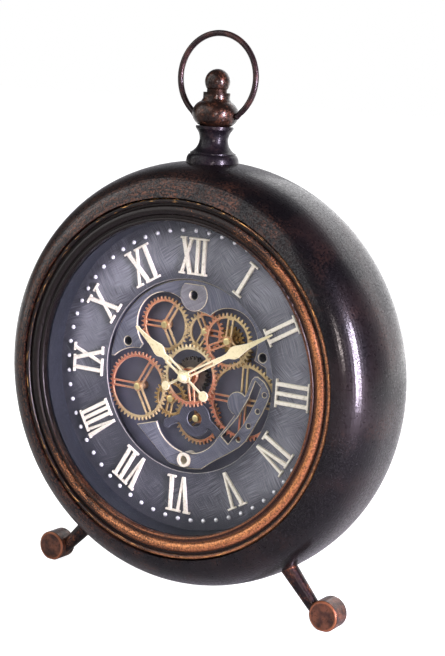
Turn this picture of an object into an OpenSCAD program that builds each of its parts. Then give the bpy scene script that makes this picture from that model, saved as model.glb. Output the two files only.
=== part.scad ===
// Gear table clock: a round case on splayed legs, with an open gear display in the dial
// Millimetres. X to the right, Y into the clock, Z up. The origin is on the floor, under the middle
// of the whole clock. Inside the clock modules, sizes along Y are measured from the dial's front face.

/* [Case] */
// Outside diameter of the case
case_d = 293.4; // [290:0.2:298]
// Depth of the case shell, front to back
case_depth = 87; // [85:1:95]
// How far the dial lies behind the front edge of the shell's section
dial_inset = 24; // [22:1:26]
// How far the middle of the shell's section lies inside the mouth
section_inset = 5.7; // [5:0.1:7]
// Thickness of the shell, the rear cover and the seat flange
case_wall = 1.6; // [1.2:0.1:2]
// Diameter of the mouth that the bezel sits in
mouth_d = 245; // [243:0.2:247]
// Inside diameter of the rear lip
rear_lip_d = 212; // [206:1:216]
// Room between the case and the floor
floor_room = 9.5; // [8:0.1:14]

/* [Bezel and glass] */
// Inside diameter of the bezel's lip
bezel_lip_d = 213.6; // [211:0.2:215]
// How far the lip stands in front of the dial
bezel_lip_height = 20.5; // [18:0.5:22]
// Radius of the section of the bezel's wide bead
bezel_bead_r = 3.6; // [3.2:0.1:4]
// Thickness of the glass
glass_t = 2; // [1.5:0.1:3]

/* [Dial] */
// Diameter of the dial
dial_d = 218; // [216:0.5:219]
// Thickness of the dial
dial_t = 1.2; // [0.8:0.1:1.5]
// Diameter of the opening that shows the gears
opening_d = 133.6; // [132:0.2:135]
// How far the circle of minute studs lies inside the bezel's lip
stud_inset = 6.8; // [6:0.1:8]
// Diameter of one minute stud
stud_d = 3.2; // [2.4:0.1:3.6]
// Height of the numerals along the radius
numeral_h = 25.3; // [23:0.1:27]
// How far the middle of the numerals lies inside the circle of studs
numeral_inset = 17.3; // [16.5:0.1:18.5]
// Thickness of the raised numerals
numeral_t = 1.8; // [1:0.1:2]

/* [Hands] */
// Length of the minute hand from its centre
minute_l = 77.5; // [72:0.5:82]
// Length of the hour hand from its centre
hour_l = 51.5; // [48:0.5:54]
// Thickness of the hands
hand_t = 0.8; // [0.6:0.1:1]
// Clock direction of the minute hand, in degrees from XII
minute_angle = 60; // [0:1:359]
// Clock direction of the hour hand, in degrees from XII
hour_angle = 305; // [0:1:359]
// Radius of the minute arbor
arbor_r = 1.7; // [1.6:0.05:1.8]
// Outside radius of the hour pipe
pipe_r = 2.6; // [2.5:0.05:2.7]
// Outside radius of the fixed stem that the centre wheel runs on
stem_r = 4; // [3.8:0.1:4.2]

/* [Gear display] */
// Thickness of the toothed wheels
wheel_t = 1.4; // [1.2:0.1:1.5]
// Depth of the front layer of wheels behind the dial's face
layer_front = 3.6; // [3.5:0.1:3.8]
// Step from one layer of wheels to the next
layer_step = 3; // [2.9:0.1:3.1]
// Teeth of the centre wheel
centre_teeth = 42; // [42]
// Teeth of the upper right wheel
upper_right_teeth = 37; // [37]
// Teeth of the left wheel
left_teeth = 47; // [47]
// Teeth of the upper middle wheel
upper_middle_teeth = 28; // [28]
// Teeth of the upper left wheel
upper_left_teeth = 38; // [38]
// Teeth of the right wheel
right_teeth = 53; // [53]
// Teeth of the lower left wheel
lower_left_teeth = 26; // [26]
// Teeth of the bottom wheel
bottom_teeth = 36; // [36]
// Teeth of the pinion on the centre wheel
centre_pinion_teeth = 24; // [24]
// Diameter of the gear posts
post_d = 3; // [2.6:0.1:3.2]
// Depth of the display base plate behind the dial's face
base_front = 12.4; // [12.2:0.1:13]
// Thickness of the display base plate
base_t = 1.5; // [1.2:0.1:2]
// Depth of the upper plate and the lower bridge behind the dial's face
plate_front = 3; // [2.8:0.1:3.2]
// Thickness of the upper plate and the lower bridge
plate_t = 1.5; // [1.2:0.1:1.8]
// Room between the left wheel and the wall around the gear display
gear_room = 3.6; // [3:0.1:4.6]

/* [Movement and drive] */
// Width and height of the quartz movement
movement_w = 56; // [55:0.5:57]
// Depth of the quartz movement
movement_depth = 16; // [15.5:0.5:17]
// Diameter of an AA cell
cell_d = 14.2; // [13.8:0.1:14.4]
// Length of an AA cell
cell_l = 50; // [49:0.5:50.5]
// Room between the gear motor and the movement
motor_gap = 1.45; // [1.2:0.05:2.5]
// Diameter of the setting knob
knob_d = 11; // [9:0.5:12]
// Travel of the switch slider
switch_travel = 4; // [3:0.5:4.5]

/* [Rear cover] */
// Diameter of the rear cover's sunken floor
pan_floor_d = 164; // [160:1:168]
// Diameter of the rear cover's rim
pan_rim_d = 238; // [234:1:240]

/* [Finial and bail] */
// Place of the finial and the front feet behind the dial's face
hardware_y = 15; // [12:0.5:18]
// Diameter of the finial's flange
finial_flange_d = 35.8; // [33:0.2:38]
// Height of the finial's base above the case
finial_base_h = 23.2; // [22:0.2:25]
// Largest diameter of the finial's bead
finial_bead_d = 31.4; // [30:0.2:32]
// Diameter of the ball on top
finial_ball_d = 17; // [15:0.2:18]
// Diameter of the central rod
finial_rod_d = 4; // [3.6:0.1:4.4]
// Outside diameter of the bail ring
bail_d = 63.2; // [61:0.2:65]
// Thickness of the bail's wire
bail_wire_d = 4.1; // [3.6:0.1:4.4]

/* [Legs and feet] */
// How much less than the case's diameter the front feet stand apart
foot_inset = 66.7; // [62:0.1:72]
// How far the front legs run inboard of the middles of their feet
leg_inset = 8.4; // [7:0.1:9]
// Diameter of the drum feet
foot_d = 21.4; // [20:0.2:23]
// Length of the drum feet
foot_l = 15.7; // [14:0.1:18]
// Flat ground on the underside of the feet, measured as depth
foot_flat = 0.5; // [0.3:0.1:0.8]
// Angle of the front legs from the upright
leg_splay = 43; // [41:1:45]
// Diameter of a leg at the case
leg_top_d = 11.7; // [10:0.1:13]
// Diameter of a leg at the foot
leg_foot_d = 8.2; // [7:0.1:9]
// Distance of the rear foot behind the dial's face
rear_foot_y = 82; // [80:0.5:86]
// Angle of the rear leg from the upright
rear_leg_lean = 55; // [53:1:57]

/* [Hidden] */

// Clearances
run = 0.05; // radial clearance of a running fit
slip = 0.1; // radial clearance of a screw or rod in its hole
gap = 0.3; // room between neighbours that only lie near each other

// Colours
bronze = "#2c2220";
copper = "#9a5a34";
dial_grey = "#565a66";
plate_grey = "#63666f";
dark_grey = "#3a3d46";
ivory = "#e6e0d2";
brass = "#cdb26e";
red_copper = "#c07452";
gold = "#dccf98";
black_plastic = "#26262a";
steel = "#a8abb0";

// Case section: a superellipse in the plane of radius and depth
corner_power = 2.5;
section_steps = 44;
mouth_r = mouth_d / 2;
section_half = case_d / 2 - mouth_r + section_inset;
section_r = mouth_r - section_inset;
case_mid = case_depth / 2 - dial_inset;
axis_height = case_d / 2 + floor_room;
rear_lip_outer_r = section_r + 6.5;
function signed_power(v, e) = sign(v) * pow(abs(v), e);
function case_point(a, inset) = [
    section_r + (section_half - inset) * signed_power(cos(a), 2 / corner_power),
    case_mid + (case_depth / 2 - inset) * signed_power(sin(a), 2 / corner_power)
];
function case_angle(r, inset) = acos(pow((r - section_r) / (section_half - inset), corner_power / 2));
function case_arc(r_front, r_back, inset) = [
    for (i = [0 : section_steps])
        let (a0 = -case_angle(r_front, inset), a1 = case_angle(r_back, inset))
        case_point(a0 + (a1 - a0) * i / section_steps, inset)
];
function reversed(list) = [for (i = [len(list) - 1 : -1 : 0]) list[i]];
front_y = case_arc(mouth_r, rear_lip_outer_r, 0)[0][1];
lip_back = case_arc(mouth_r, rear_lip_outer_r, 0)[section_steps][1];
lip_front = case_arc(mouth_r, rear_lip_outer_r, case_wall)[section_steps][1];
// Below 1 inside the section and above 1 outside it
function case_level(p, inset) =
    pow(max(norm([p[0], p[2]]) - section_r, 0) / (section_half - inset), corner_power)
        + pow(abs(p[1] - case_mid) / (case_depth / 2 - inset), corner_power);
// How far along a ray from outside the case its surface lies
function reach(start, way, inset, near, far, steps = 24) =
    let (mid = (near + far) / 2)
    steps == 0 ? mid
        : case_level(start + mid * way, inset) > 1 ? reach(start, way, inset, mid, far, steps - 1)
        : reach(start, way, inset, near, mid, steps - 1);

// Depths of the main layers behind the dial's face
seat_front = dial_t;
seat_back = seat_front + case_wall;
seat_inner_r = 103.5;
glass_r = dial_d / 2;
base_back = base_front + base_t;
movement_back = base_back + movement_depth;
pan_floor = movement_back + gap;
rear_extent = rear_foot_y + foot_d / 2;
dial_y = -(front_y + rear_extent) / 2;

// Bezel
bezel_r = mouth_r - 0.6;
bezel_body_front = -bezel_lip_height;
bezel_body_t = 3;
bezel_skirt_inner = dial_d / 2 + 0.2;
bezel_skirt_t = 1.5;
bezel_screw_r = (bezel_skirt_inner + bezel_skirt_t + mouth_r) / 2 - 1;
bezel_screws_n = 6;
boss_r = 2.6;
screw_r = 1.45;
screw_hole_r = screw_r + slip;
screw_head_r = 2.8;
screw_head_h = 1.8;

// Rear cover
pan_rim_r = pan_rim_d / 2;
pan_screw_r = (rear_lip_d / 2 + rear_lip_outer_r) / 2 + 0.5;
pan_screws_n = 6;

// Gear train: module 1, all centres worked out from the tooth counts
gear_module = 1;
pressure_angle = 20;
tooth_head = 0.9;
tooth_root = 1.2;
backlash = 0.22;
upper_right_pinion_teeth = 12;
upper_right_drive_teeth = 18;
motor_teeth = 10;
function pitch_r(n) = gear_module * n / 2;
function tip_r(n) = pitch_r(n) + tooth_head;
function root_r(n) = pitch_r(n) - tooth_root;
function polar(c, r, a) = c + [r * cos(a), r * sin(a)];
function beside(c, n1, n2, a) = polar(c, pitch_r(n1) + pitch_r(n2), a);
function direction(a, b) = atan2(b[1] - a[1], b[0] - a[0]);
// Angle of a tooth of the second wheel that puts its gap on a tooth of the first
function mesh_angle(c1, c2, n1, n2, phase1) =
    let (a = direction(c1, c2)) a + 180 - 180 / n2 + (a - phase1) * n1 / n2;
// Point at pitch distance from two wheels at once
function between(c1, r1, c2, r2) =
    let (d = norm(c2 - c1), a = (r1 * r1 - r2 * r2 + d * d) / (2 * d), h = sqrt(r1 * r1 - a * a))
    let (u = (c2 - c1) / d)
    c1 + a * u + h * [-u[1], u[0]];

centre_at = [0, 0];
upper_right_at = beside(centre_at, centre_teeth, upper_right_teeth, 44.7);
left_at = beside(centre_at, centre_teeth, left_teeth, 198.15);
upper_middle_at = beside(upper_right_at, upper_right_pinion_teeth, upper_middle_teeth, 170.1);
upper_left_at = beside(upper_middle_at, upper_middle_teeth, upper_left_teeth, 179);
lower_left_at = beside(centre_at, centre_pinion_teeth, lower_left_teeth, 229.5);
bottom_at = beside(centre_at, centre_pinion_teeth, bottom_teeth, -80.8);
right_at = [41.6, -11.8];
motor_at = between(upper_right_at, pitch_r(upper_right_drive_teeth + motor_teeth),
    right_at, pitch_r(right_teeth + motor_teeth));

centre_phase = 0;
centre_pinion_phase = 0;
upper_right_phase = mesh_angle(centre_at, upper_right_at, centre_teeth, upper_right_teeth, centre_phase);
left_phase = mesh_angle(centre_at, left_at, centre_teeth, left_teeth, centre_phase);
upper_middle_phase = mesh_angle(upper_right_at, upper_middle_at, upper_right_pinion_teeth,
    upper_middle_teeth, 0);
upper_left_phase = mesh_angle(upper_middle_at, upper_left_at, upper_middle_teeth,
    upper_left_teeth, upper_middle_phase);
lower_left_phase = mesh_angle(centre_at, lower_left_at, centre_pinion_teeth, lower_left_teeth,
    centre_pinion_phase);
bottom_phase = mesh_angle(centre_at, bottom_at, centre_pinion_teeth, bottom_teeth, centre_pinion_phase);
motor_phase = mesh_angle(upper_right_at, motor_at, upper_right_drive_teeth, motor_teeth, 0);
right_phase = mesh_angle(motor_at, right_at, motor_teeth, right_teeth, motor_phase);

post_r = post_d / 2;
post_head_r = 2.4;
layer_a = layer_front;
layer_b = layer_front + layer_step;
layer_c = layer_front + 2 * layer_step;
train_back = base_front - 0.3;

// Plates of the gear display
plate_back = plate_front + plate_t;
plate_hole_r = 3.1;
display_r = 66.2;
well_r = norm(left_at) + tip_r(left_teeth) + gear_room;
well_wall = 1.5;
spacer_ring_r = well_r + well_wall + 4.5;
base_r = spacer_ring_r + 4;
spacer_r = 3;
spacers_n = 4;
left_lobe_at = [-52.4, 17];
right_lobe_at = [56.2, 20.7];
tab_at = [0, 55.7];
tab_r = 10.9;
boss_at = [0, -58.9];
boss_tube_r = 5;
arm_disc_r = 8.1;
bridge_back = layer_b - 0.4;
bridge_t = 0.8;
bridge_hole_r = 5.6;
bridge_lobe_r = 12.6;
bridge_left_at = [-17.5, -36.8];
bridge_right_at = [25.5, -38];
lower_left_pillar_at = [-30, -44.5];
lower_right_pillar_at = [36, -44];

// Hands and stem
stem_front = 0.8;
hour_back = -2.6;
hour_front = hour_back - hand_t;
minute_back = hour_front - 1.8;
minute_front = minute_back - hand_t;
cap_front = minute_front - 3;

// Battery box and switch
box_w = 66;
box_h = 33;
box_top = -movement_w / 2 - 5;
box_wall = 1.2;
switch_w = 8;
switch_h = 14;
switch_at = [box_w / 2 + switch_w / 2, box_top - 14];
slider_w = 3;
slider_foot_h = 5;

// Finial
finial_z = case_d / 2;
finial_base_top = finial_z + finial_base_h;
finial_lip_z = finial_z - 1.2;
bead_section_r = 8.8;
bead_mid = finial_base_top + 8.4;
bead_top = finial_base_top + 22.6;
collar_r = 9.1;
bail_pivot_z = bead_mid - 0.9;
bail_r = (bail_d - bail_wire_d) / 2;
bail_wire_r = bail_wire_d / 2;
bail_centre_z = bail_pivot_z + bail_d / 2 - 6.7;
bail_pin_r = 1.5;
bail_elbow_x = finial_bead_d / 2 + 1.2;
bail_seat_x = bail_elbow_x - bail_wire_r - gap;
bail_open_angle = 48;
ball_centre_z = bead_top + 7.2;

// Legs
foot_r = foot_d / 2;
foot_z = -axis_height + foot_r - foot_flat;
stud_r = 2.5;
nut_h = 4;
washer_r = 7;
washer_t = 2.5;
foot_spread = case_d - foot_inset;
front_leg_at = [foot_spread / 2 - leg_inset, hardware_y, foot_z];
front_stud_low = -6;
rear_foot_at = [0, rear_foot_y, foot_z];
front_way = [-sin(leg_splay), 0, cos(leg_splay)];
rear_way = [0, -sin(rear_leg_lean), cos(rear_leg_lean)];
front_reach = reach(front_leg_at, front_way, 0, 4, 80);
rear_reach = reach(rear_foot_at, rear_way, 0, foot_r, 50);
front_seat = reach(front_leg_at, front_way, case_wall, 4, 80) + washer_t;
rear_seat = reach(rear_foot_at, rear_way, case_wall, foot_r, 50) + washer_t;

// Places a plan drawn as seen from the front, with its front face at the given depth
module face_plate(front, thickness) {
    translate([0, front + thickness, 0])
        rotate([90, 0, 0])
            linear_extrude(height = thickness)
                children();
}

// Turns a profile of radius and depth about the clock's axis
module turned() {
    rotate([-90, 0, 0])
        rotate_extrude($fn = 180)
            children();
}

// A round bar along the clock's axis, from one depth to another
module rod(at, r, from, to) {
    translate([at[0], from, at[1]])
        rotate([-90, 0, 0])
            cylinder(r = r, h = to - from, $fn = 48);
}

module ring_of(n, r, start = 0) {
    for (i = [0 : n - 1])
        rotate([0, start + i * 360 / n, 0])
            translate([0, 0, r])
                children();
}

module in_clock() {
    translate([0, dial_y, axis_height])
        children();
}

module case_solid(inset) {
    arc = case_arc(rear_lip_outer_r, rear_lip_outer_r, inset);
    turned()
        polygon(concat([[0, arc[0][1]]], arc, [[0, arc[section_steps][1]]]));
}

// The case

module case_shell() {
    outer = case_arc(mouth_r, rear_lip_outer_r, 0);
    inner = case_arc(mouth_r + case_wall, rear_lip_outer_r, case_wall);
    color(bronze) difference() {
        turned()
            polygon(concat(
                [[mouth_r, seat_front]],
                outer,
                [[rear_lip_d / 2, lip_back], [rear_lip_d / 2, lip_front]],
                reversed(inner),
                [[mouth_r + case_wall, seat_back], [seat_inner_r, seat_back], [seat_inner_r, seat_front]]
            ));
        ring_of(bezel_screws_n, bezel_screw_r, 30)
            rod([0, 0], screw_hole_r, seat_front - 1, seat_back + 1);
        ring_of(pan_screws_n, pan_screw_r, 30)
            rod([0, 0], screw_hole_r, lip_front - 1, lip_back + 1);
        translate([0, hardware_y, 0])
            cylinder(r = finial_rod_d / 2 + slip, h = finial_z + 5, $fn = 48);
        for (side = [-1, 1])
            front_leg_place(side)
                leg_bore();
        rear_leg_place()
            leg_bore();
    }
}

module bezel() {
    color(copper) difference() {
        union() {
            turned()
                difference() {
                    union() {
                        translate([bezel_lip_d / 2, bezel_body_front])
                            square([bezel_r - bezel_lip_d / 2, bezel_body_t]);
                        translate([bezel_skirt_inner, bezel_body_front])
                            square([bezel_skirt_t, seat_front - bezel_body_front]);
                        translate([bezel_lip_d / 2 + 1.2, bezel_body_front - 0.3])
                            circle(r = 1.2, $fn = 48);
                        translate([bezel_lip_d / 2 + 7.3, bezel_body_front + 1.5])
                            circle(r = bezel_bead_r, $fn = 72);
                        translate([bezel_r - 1.7, bezel_body_front - 0.6])
                            circle(r = 1.6, $fn = 48);
                    }
                    translate([bezel_lip_d / 2 - 1, bezel_body_front + bezel_body_t])
                        square([bezel_skirt_inner + 1 - bezel_lip_d / 2, 60]);
                    translate([bezel_skirt_inner + bezel_skirt_t, bezel_body_front + bezel_body_t])
                        square([20, 60]);
                }
            ring_of(bezel_screws_n, bezel_screw_r, 30)
                rod([0, 0], boss_r, bezel_body_front + bezel_body_t - 0.5, seat_front);
        }
        ring_of(bezel_screws_n, bezel_screw_r, 30)
            rod([0, 0], screw_r + run, -10, seat_front + 1);
    }
}

module screw(front, length) {
    rod([0, 0], screw_r, front, front + length + 0.1);
    rod([0, 0], screw_head_r, front + length, front + length + screw_head_h);
}

module bezel_screws() {
    color(steel)
        ring_of(bezel_screws_n, bezel_screw_r, 30)
            screw(seat_back - 9, 9);
}

module lens_glass() {
    color("#c8d8dc", 0.3)
        rod([0, 0], glass_r, bezel_body_front + bezel_body_t, bezel_body_front + bezel_body_t + glass_t);
}

module rehaut_ring() {
    color(dial_grey)
        turned()
            translate([bezel_lip_d / 2, bezel_body_front + bezel_body_t + glass_t])
                square([glass_r - bezel_lip_d / 2, bezel_lip_height - bezel_body_t - glass_t]);
}

// The dial

module dial() {
    color(dial_grey) difference() {
        rod([0, 0], dial_d / 2, 0, dial_t);
        rod([0, 0], opening_d / 2, -1, dial_t + 1);
    }
}

stud_ring_r = bezel_lip_d / 2 - stud_inset;
numeral_r = stud_ring_r - numeral_inset;
serif_t = 1.4;
stem_w = 2.7;
join = 0.4;
letter_i = 6.4;
letter_v = 13;
letter_x = 13.4;

// A slanted stroke with its middle and width at the bottom and at the top, cut level at both ends
module stroke(x0, w0, x1, w1) {
    polygon([[x0 - w0 / 2, -numeral_h / 2], [x0 + w0 / 2, -numeral_h / 2],
        [x1 + w1 / 2, numeral_h / 2], [x1 - w1 / 2, numeral_h / 2]]);
}

module serif(x, w, top) {
    translate([x - w / 2, top ? numeral_h / 2 - serif_t : -numeral_h / 2])
        square([w, serif_t]);
}

module glyph_i(w) {
    stroke(0, stem_w, 0, stem_w);
    serif(0, w + join, true);
    serif(0, w + join, false);
}

module glyph_v(w) {
    stroke(-0.1, 1.8, -0.28 * w, 3);
    stroke(0.3, 1.5, 0.27 * w, 2.1);
    serif(-0.3 * w, 0.42 * w, true);
    serif(0.3 * w, 0.42 * w, true);
}

module glyph_x(w) {
    stroke(0.28 * w, 3.1, -0.3 * w, 3.1);
    stroke(-0.35 * w, 2.1, 0.305 * w, 2.1);
    for (top = [true, false]) {
        serif(-0.31 * w, 0.41 * w, top);
        serif(0.31 * w, 0.41 * w, top);
    }
}

// One numeral is a list of letters: 1 is I, 5 is V and 10 is X
function letter_w(k) = k == 1 ? letter_i : k == 5 ? letter_v : letter_x;
function word_w(word, n) = n == 0 ? 0 : letter_w(word[n - 1]) + word_w(word, n - 1);
words = [
    [10, 1, 1], [1], [1, 1], [1, 1, 1], [1, 5], [5], [5, 1], [5, 1, 1], [5, 1, 1, 1], [1, 10],
    [10], [10, 1]
];

// Widths from XII on, with the strokes kept as wide in the crowded ones
widths = [22.4, 7.4, 12.9, 19.1, 19.6, 16.3, 19.6, 21.1, 21.4, 21, 16.4, 21.3];

module numeral(word, width) {
    full = width - join;
    k = full / word_w(word, len(word));
    for (i = [0 : len(word) - 1])
        translate([k * (word_w(word, i) + letter_w(word[i]) / 2) - full / 2, 0])
            if (word[i] == 1)
                glyph_i(k * letter_i);
            else if (word[i] == 5)
                glyph_v(k * letter_v);
            else
                glyph_x(k * letter_x);
}

module numerals() {
    color(ivory)
        for (h = [0 : 11])
            face_plate(-numeral_t, numeral_t)
                rotate(-30 * h)
                    translate([0, numeral_r])
                        numeral(words[h], widths[h]);
}

module minute_studs() {
    dome_r = stud_d / 2;
    color("#d4d6da")
        ring_of(60, stud_ring_r)
            rotate([90, 0, 0])
                rotate_extrude($fn = 24)
                    intersection() {
                        circle(r = dome_r, $fn = 32);
                        square([dome_r, dome_r]);
                    }
}

// The back

module rear_cover() {
    rim_front = lip_back;
    rim_back = lip_back + 1.2;
    cone_r = rear_lip_d / 2 - 0.5;
    color(bronze) difference() {
        turned()
            polygon([
                [0, pan_floor], [pan_floor_d / 2, pan_floor], [cone_r, rim_front],
                [pan_rim_r, rim_front], [pan_rim_r, rim_back], [cone_r - 0.9, rim_back],
                [pan_floor_d / 2 - 0.9, pan_floor + 1.2], [0, pan_floor + 1.2]
            ]);
        face_plate(pan_floor - 1, 4)
            translate([-movement_w / 2 - 0.5, -movement_w / 2 - 0.5])
                square(movement_w + 1);
        face_plate(pan_floor - 1, 4)
            translate([-box_w / 2 - 0.5, box_top - box_h - 0.5])
                square([box_w + 1, box_h + 1]);
        face_plate(pan_floor - 1, 4)
            translate([switch_at[0] - switch_w / 2 - 0.5, switch_at[1] - switch_h / 2 - 0.5])
                square([switch_w + 1, switch_h + 1]);
        ring_of(pan_screws_n, pan_screw_r, 30)
            rod([0, 0], screw_hole_r, rim_front - 1, rim_back + 1);
    }
}

module rear_cover_screws() {
    color(steel)
        ring_of(pan_screws_n, pan_screw_r, 30)
            screw(lip_back + 1.2 - 8, 8);
}

// Plates of the gear display

module opening_wall() {
    color(dark_grey) difference() {
        rod([0, 0], well_r + well_wall, dial_t, base_front);
        rod([0, 0], well_r, dial_t - 1, base_front + 1);
    }
}

module base_plate() {
    color(dark_grey) difference() {
        rod([0, 0], base_r, base_front, base_back);
        rod([0, 0], stem_r + slip, base_front - 1, base_back + 1);
        rod(motor_at, post_r + 0.5, base_front - 1, base_back + 1);
        ring_of(spacers_n, spacer_ring_r, 45)
            rod([0, 0], screw_hole_r, base_front - 1, base_back + 1);
    }
}

module module_spacers() {
    color(brass)
        ring_of(spacers_n, spacer_ring_r, 45)
            difference() {
                rod([0, 0], spacer_r, dial_t, base_front);
                rod([0, 0], screw_r + run, dial_t + 2, base_front + 1);
            }
}

module module_screws() {
    color(steel)
        ring_of(spacers_n, spacer_ring_r, 45)
            screw(base_back - 8, 8);
}

module plan_disc(at, r) {
    translate(at)
        circle(r = r, $fn = 72);
}

module upper_plate() {
    color(plate_grey)
        face_plate(plate_front, plate_t)
            difference() {
                plan_disc([0, 0], display_r);
                plan_disc([-22.3, 31.9], 23.1);
                plan_disc([29.4, 28.1], 22.1);
                plan_disc([-43, -15.7], 28.8);
                polygon([
                    [-90, -90], [-90, 4.8], [-63.3, 4.8], [-41.9, 13.1], [-39.6, 16.6], [-40.5, 20.2],
                    [-43.9, 23.5], [-22.3, 31.9], [-6.4, 49.3], [1.8, 45.5], [10, 44.5], [13.6, 43.3],
                    [29.4, 28.1], [51.5, 27], [50.9, 22], [50, 18], [59.1, 14.3], [60, 9.3],
                    [65.4, 6.4], [90, 0], [90, -90]
                ]);
                plan_disc(left_lobe_at, plate_hole_r);
                plan_disc(right_lobe_at, plate_hole_r);
                plan_disc(tab_at, plate_hole_r);
            }
}

module top_tab() {
    color(plate_grey)
        face_plate(plate_front - 1, 1)
            difference() {
                intersection() {
                    plan_disc(tab_at, tab_r);
                    translate([-tab_r, tab_at[1] - tab_r])
                        square([2 * tab_r, tab_r + 7.7]);
                }
                plan_disc(tab_at, plate_hole_r);
            }
}

module lower_bridge() {
    color(plate_grey)
        face_plate(plate_front, plate_t)
            difference() {
                union() {
                    intersection() {
                        plan_disc([0, 0], display_r - 1.5);
                        polygon([
                            [-41, -40.7], [-24.6, -35.7], [0, -30], [25.4, -38.9], [32.1, -29.6],
                            [37.6, -21.3], [45.5, -5.5], [49.1, 5.1], [51, 7.2], [53.8, 7.7],
                            [58.9, 4.8], [62.9, -0.4], [63.9, -3.9], [62.4, -8.7], [58.9, -17],
                            [52.6, -29.2], [47.9, -37.4], [43.2, -42.6], [34.5, -48.9],
                            [24.5, -55.3], [13, -64], [0, -70], [-13.7, -62.6]
                        ]);
                    }
                    plan_disc([39.5, -13], arm_disc_r);
                }
                plan_disc([1.2, -26.6], 27.2);
                polygon([
                    [52.2, 4.3], [47.9, -7.9], [40, -22.9], [28.5, -37.4], [34.1, -41.8],
                    [45.1, -26.1], [53.4, -8.7], [56.5, 0.9]
                ]);
                for (at = [[59.7, -3.9], [55.3, -15.8], [49.1, -26.8], [42, -37.3]])
                    plan_disc(at, 1.6);
                plan_disc(boss_at, boss_tube_r + run);
            }
}

module bridge_boss() {
    color(ivory) difference() {
        rod(boss_at, boss_tube_r, plate_front - 1.2, base_front);
        rod(boss_at, plate_hole_r, plate_front - 2, base_front + 1);
    }
}

module bridge_part() {
    face_plate(bridge_back - bridge_t, bridge_t)
        children();
}

module centre_bridge() {
    color(dark_grey) difference() {
        union() {
            bridge_part()
                polygon([
                    [-20.2, -34.1], [3, -23.3], [3, -36], [-6, -35.2], [-7.9, -34.1], [-17.1, -39.1]
                ]);
            bridge_part()
                polygon([
                    [6, -22], [8, -20.9], [29, -36.8], [25, -40.6], [14.4, -33.6], [12, -34], [6, -36]
                ]);
            bridge_part()
                plan_disc(bottom_at, bridge_lobe_r);
            bridge_part()
                plan_disc(bridge_left_at, 3);
            bridge_part()
                plan_disc(bridge_right_at, 3);
        }
        rod(bottom_at, bridge_hole_r, 0, base_front);
    }
}

module plate_pillars() {
    color(dark_grey) {
        for (at = [left_lobe_at, right_lobe_at, tab_at])
            difference() {
                rod(at, plate_hole_r + 1.3, plate_back, base_front);
                rod(at, plate_hole_r, plate_back - 1, base_front + 1);
            }
        for (at = [lower_left_pillar_at, lower_right_pillar_at])
            rod(at, 2.2, plate_back, base_front);
        for (at = [bridge_left_at, bridge_right_at])
            rod(at, 1.8, bridge_back, base_front);
    }
}

module post(at, front, head) {
    rod(at, post_r, front, base_front);
    translate([at[0], front, at[1]])
        rotate([-90, 0, 0])
            rotate_extrude($fn = 48)
                polygon([[0, -head], [post_head_r - 0.8, -head], [post_head_r, 0.4 - head],
                    [post_head_r, 0], [0, 0]]);
}

module gear_posts() {
    color(gold) {
        for (at = [upper_right_at, left_at])
            post(at, layer_a - 0.6, 1.2);
        for (at = [upper_left_at, lower_left_at, right_at])
            post(at, layer_b - 0.6, 1.2);
        post(upper_middle_at, layer_b - 0.6, 0.8);
        post(bottom_at, layer_c - 0.6, 3.2);
    }
}

// Gears

function involute_angle(r, base) = r <= base ? 0 : tan(acos(base / r)) * 180 / PI - acos(base / r);
function flank_angle(n, r) =
    let (base = pitch_r(n) * cos(pressure_angle))
    90 / n - backlash / 2 / pitch_r(n) * 180 / PI
        + involute_angle(pitch_r(n), base) - involute_angle(r, base);
function tooth_points(n, phase) = [
    for (i = [0 : n - 1])
        let (mid = pitch_r(n) + 0.05)
        for (p = [
            [root_r(n), -flank_angle(n, root_r(n))], [mid, -flank_angle(n, mid)],
            [tip_r(n), -flank_angle(n, tip_r(n))], [tip_r(n), flank_angle(n, tip_r(n))],
            [mid, flank_angle(n, mid)], [root_r(n), flank_angle(n, root_r(n))]
        ])
            polar([0, 0], p[0], phase + i * 360 / n + p[1])
];

module toothed(n, phase) {
    polygon(tooth_points(n, phase));
}

// A wheel with a rim, a hub and spokes that are each a pair of bars
module spoked(n, phase, spokes, first, hub) {
    rim_r = root_r(n) - 1.7;
    spoke_w = 5;
    slot_w = 2.2;
    difference() {
        toothed(n, phase);
        difference() {
            circle(r = rim_r, $fn = 96);
            circle(r = hub, $fn = 48);
            for (i = [0 : spokes - 1])
                rotate(first + i * 360 / spokes)
                    translate([0, -spoke_w / 2])
                        square([rim_r + 1, spoke_w]);
        }
        for (i = [0 : spokes - 1])
            rotate(first + i * 360 / spokes)
                translate([hub - 0.4, -slot_w / 2])
                    square([rim_r - hub - 0.4, slot_w]);
    }
}

module wheel(at, n, phase, layer, spokes, first, bore, hub_back, hub = 3.8) {
    difference() {
        union() {
            face_plate(layer, wheel_t)
                translate(at)
                    spoked(n, phase, spokes, first, hub);
            rod(at, bore + 1.6, layer - 0.5, hub_back);
        }
        rod(at, bore, layer - 1, base_back);
    }
}

module centre_wheel() {
    color(brass)
        wheel(centre_at, centre_teeth, centre_phase, layer_a, 3, 160, stem_r + run, layer_b - 0.8,
            6);
}

module centre_pinion() {
    color(dark_grey) difference() {
        union() {
            rod(centre_at, stem_r + 2, layer_b - 0.8, train_back);
            face_plate(layer_b, wheel_t)
                toothed(centre_pinion_teeth, centre_pinion_phase);
            face_plate(layer_c, wheel_t)
                toothed(centre_pinion_teeth, centre_pinion_phase);
        }
        rod(centre_at, stem_r + run, layer_a, base_back);
    }
}

module upper_right_wheel() {
    color(brass)
        wheel(upper_right_at, upper_right_teeth, upper_right_phase, layer_a, 3, 85, post_r + run,
            layer_b - 0.8);
}

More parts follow.
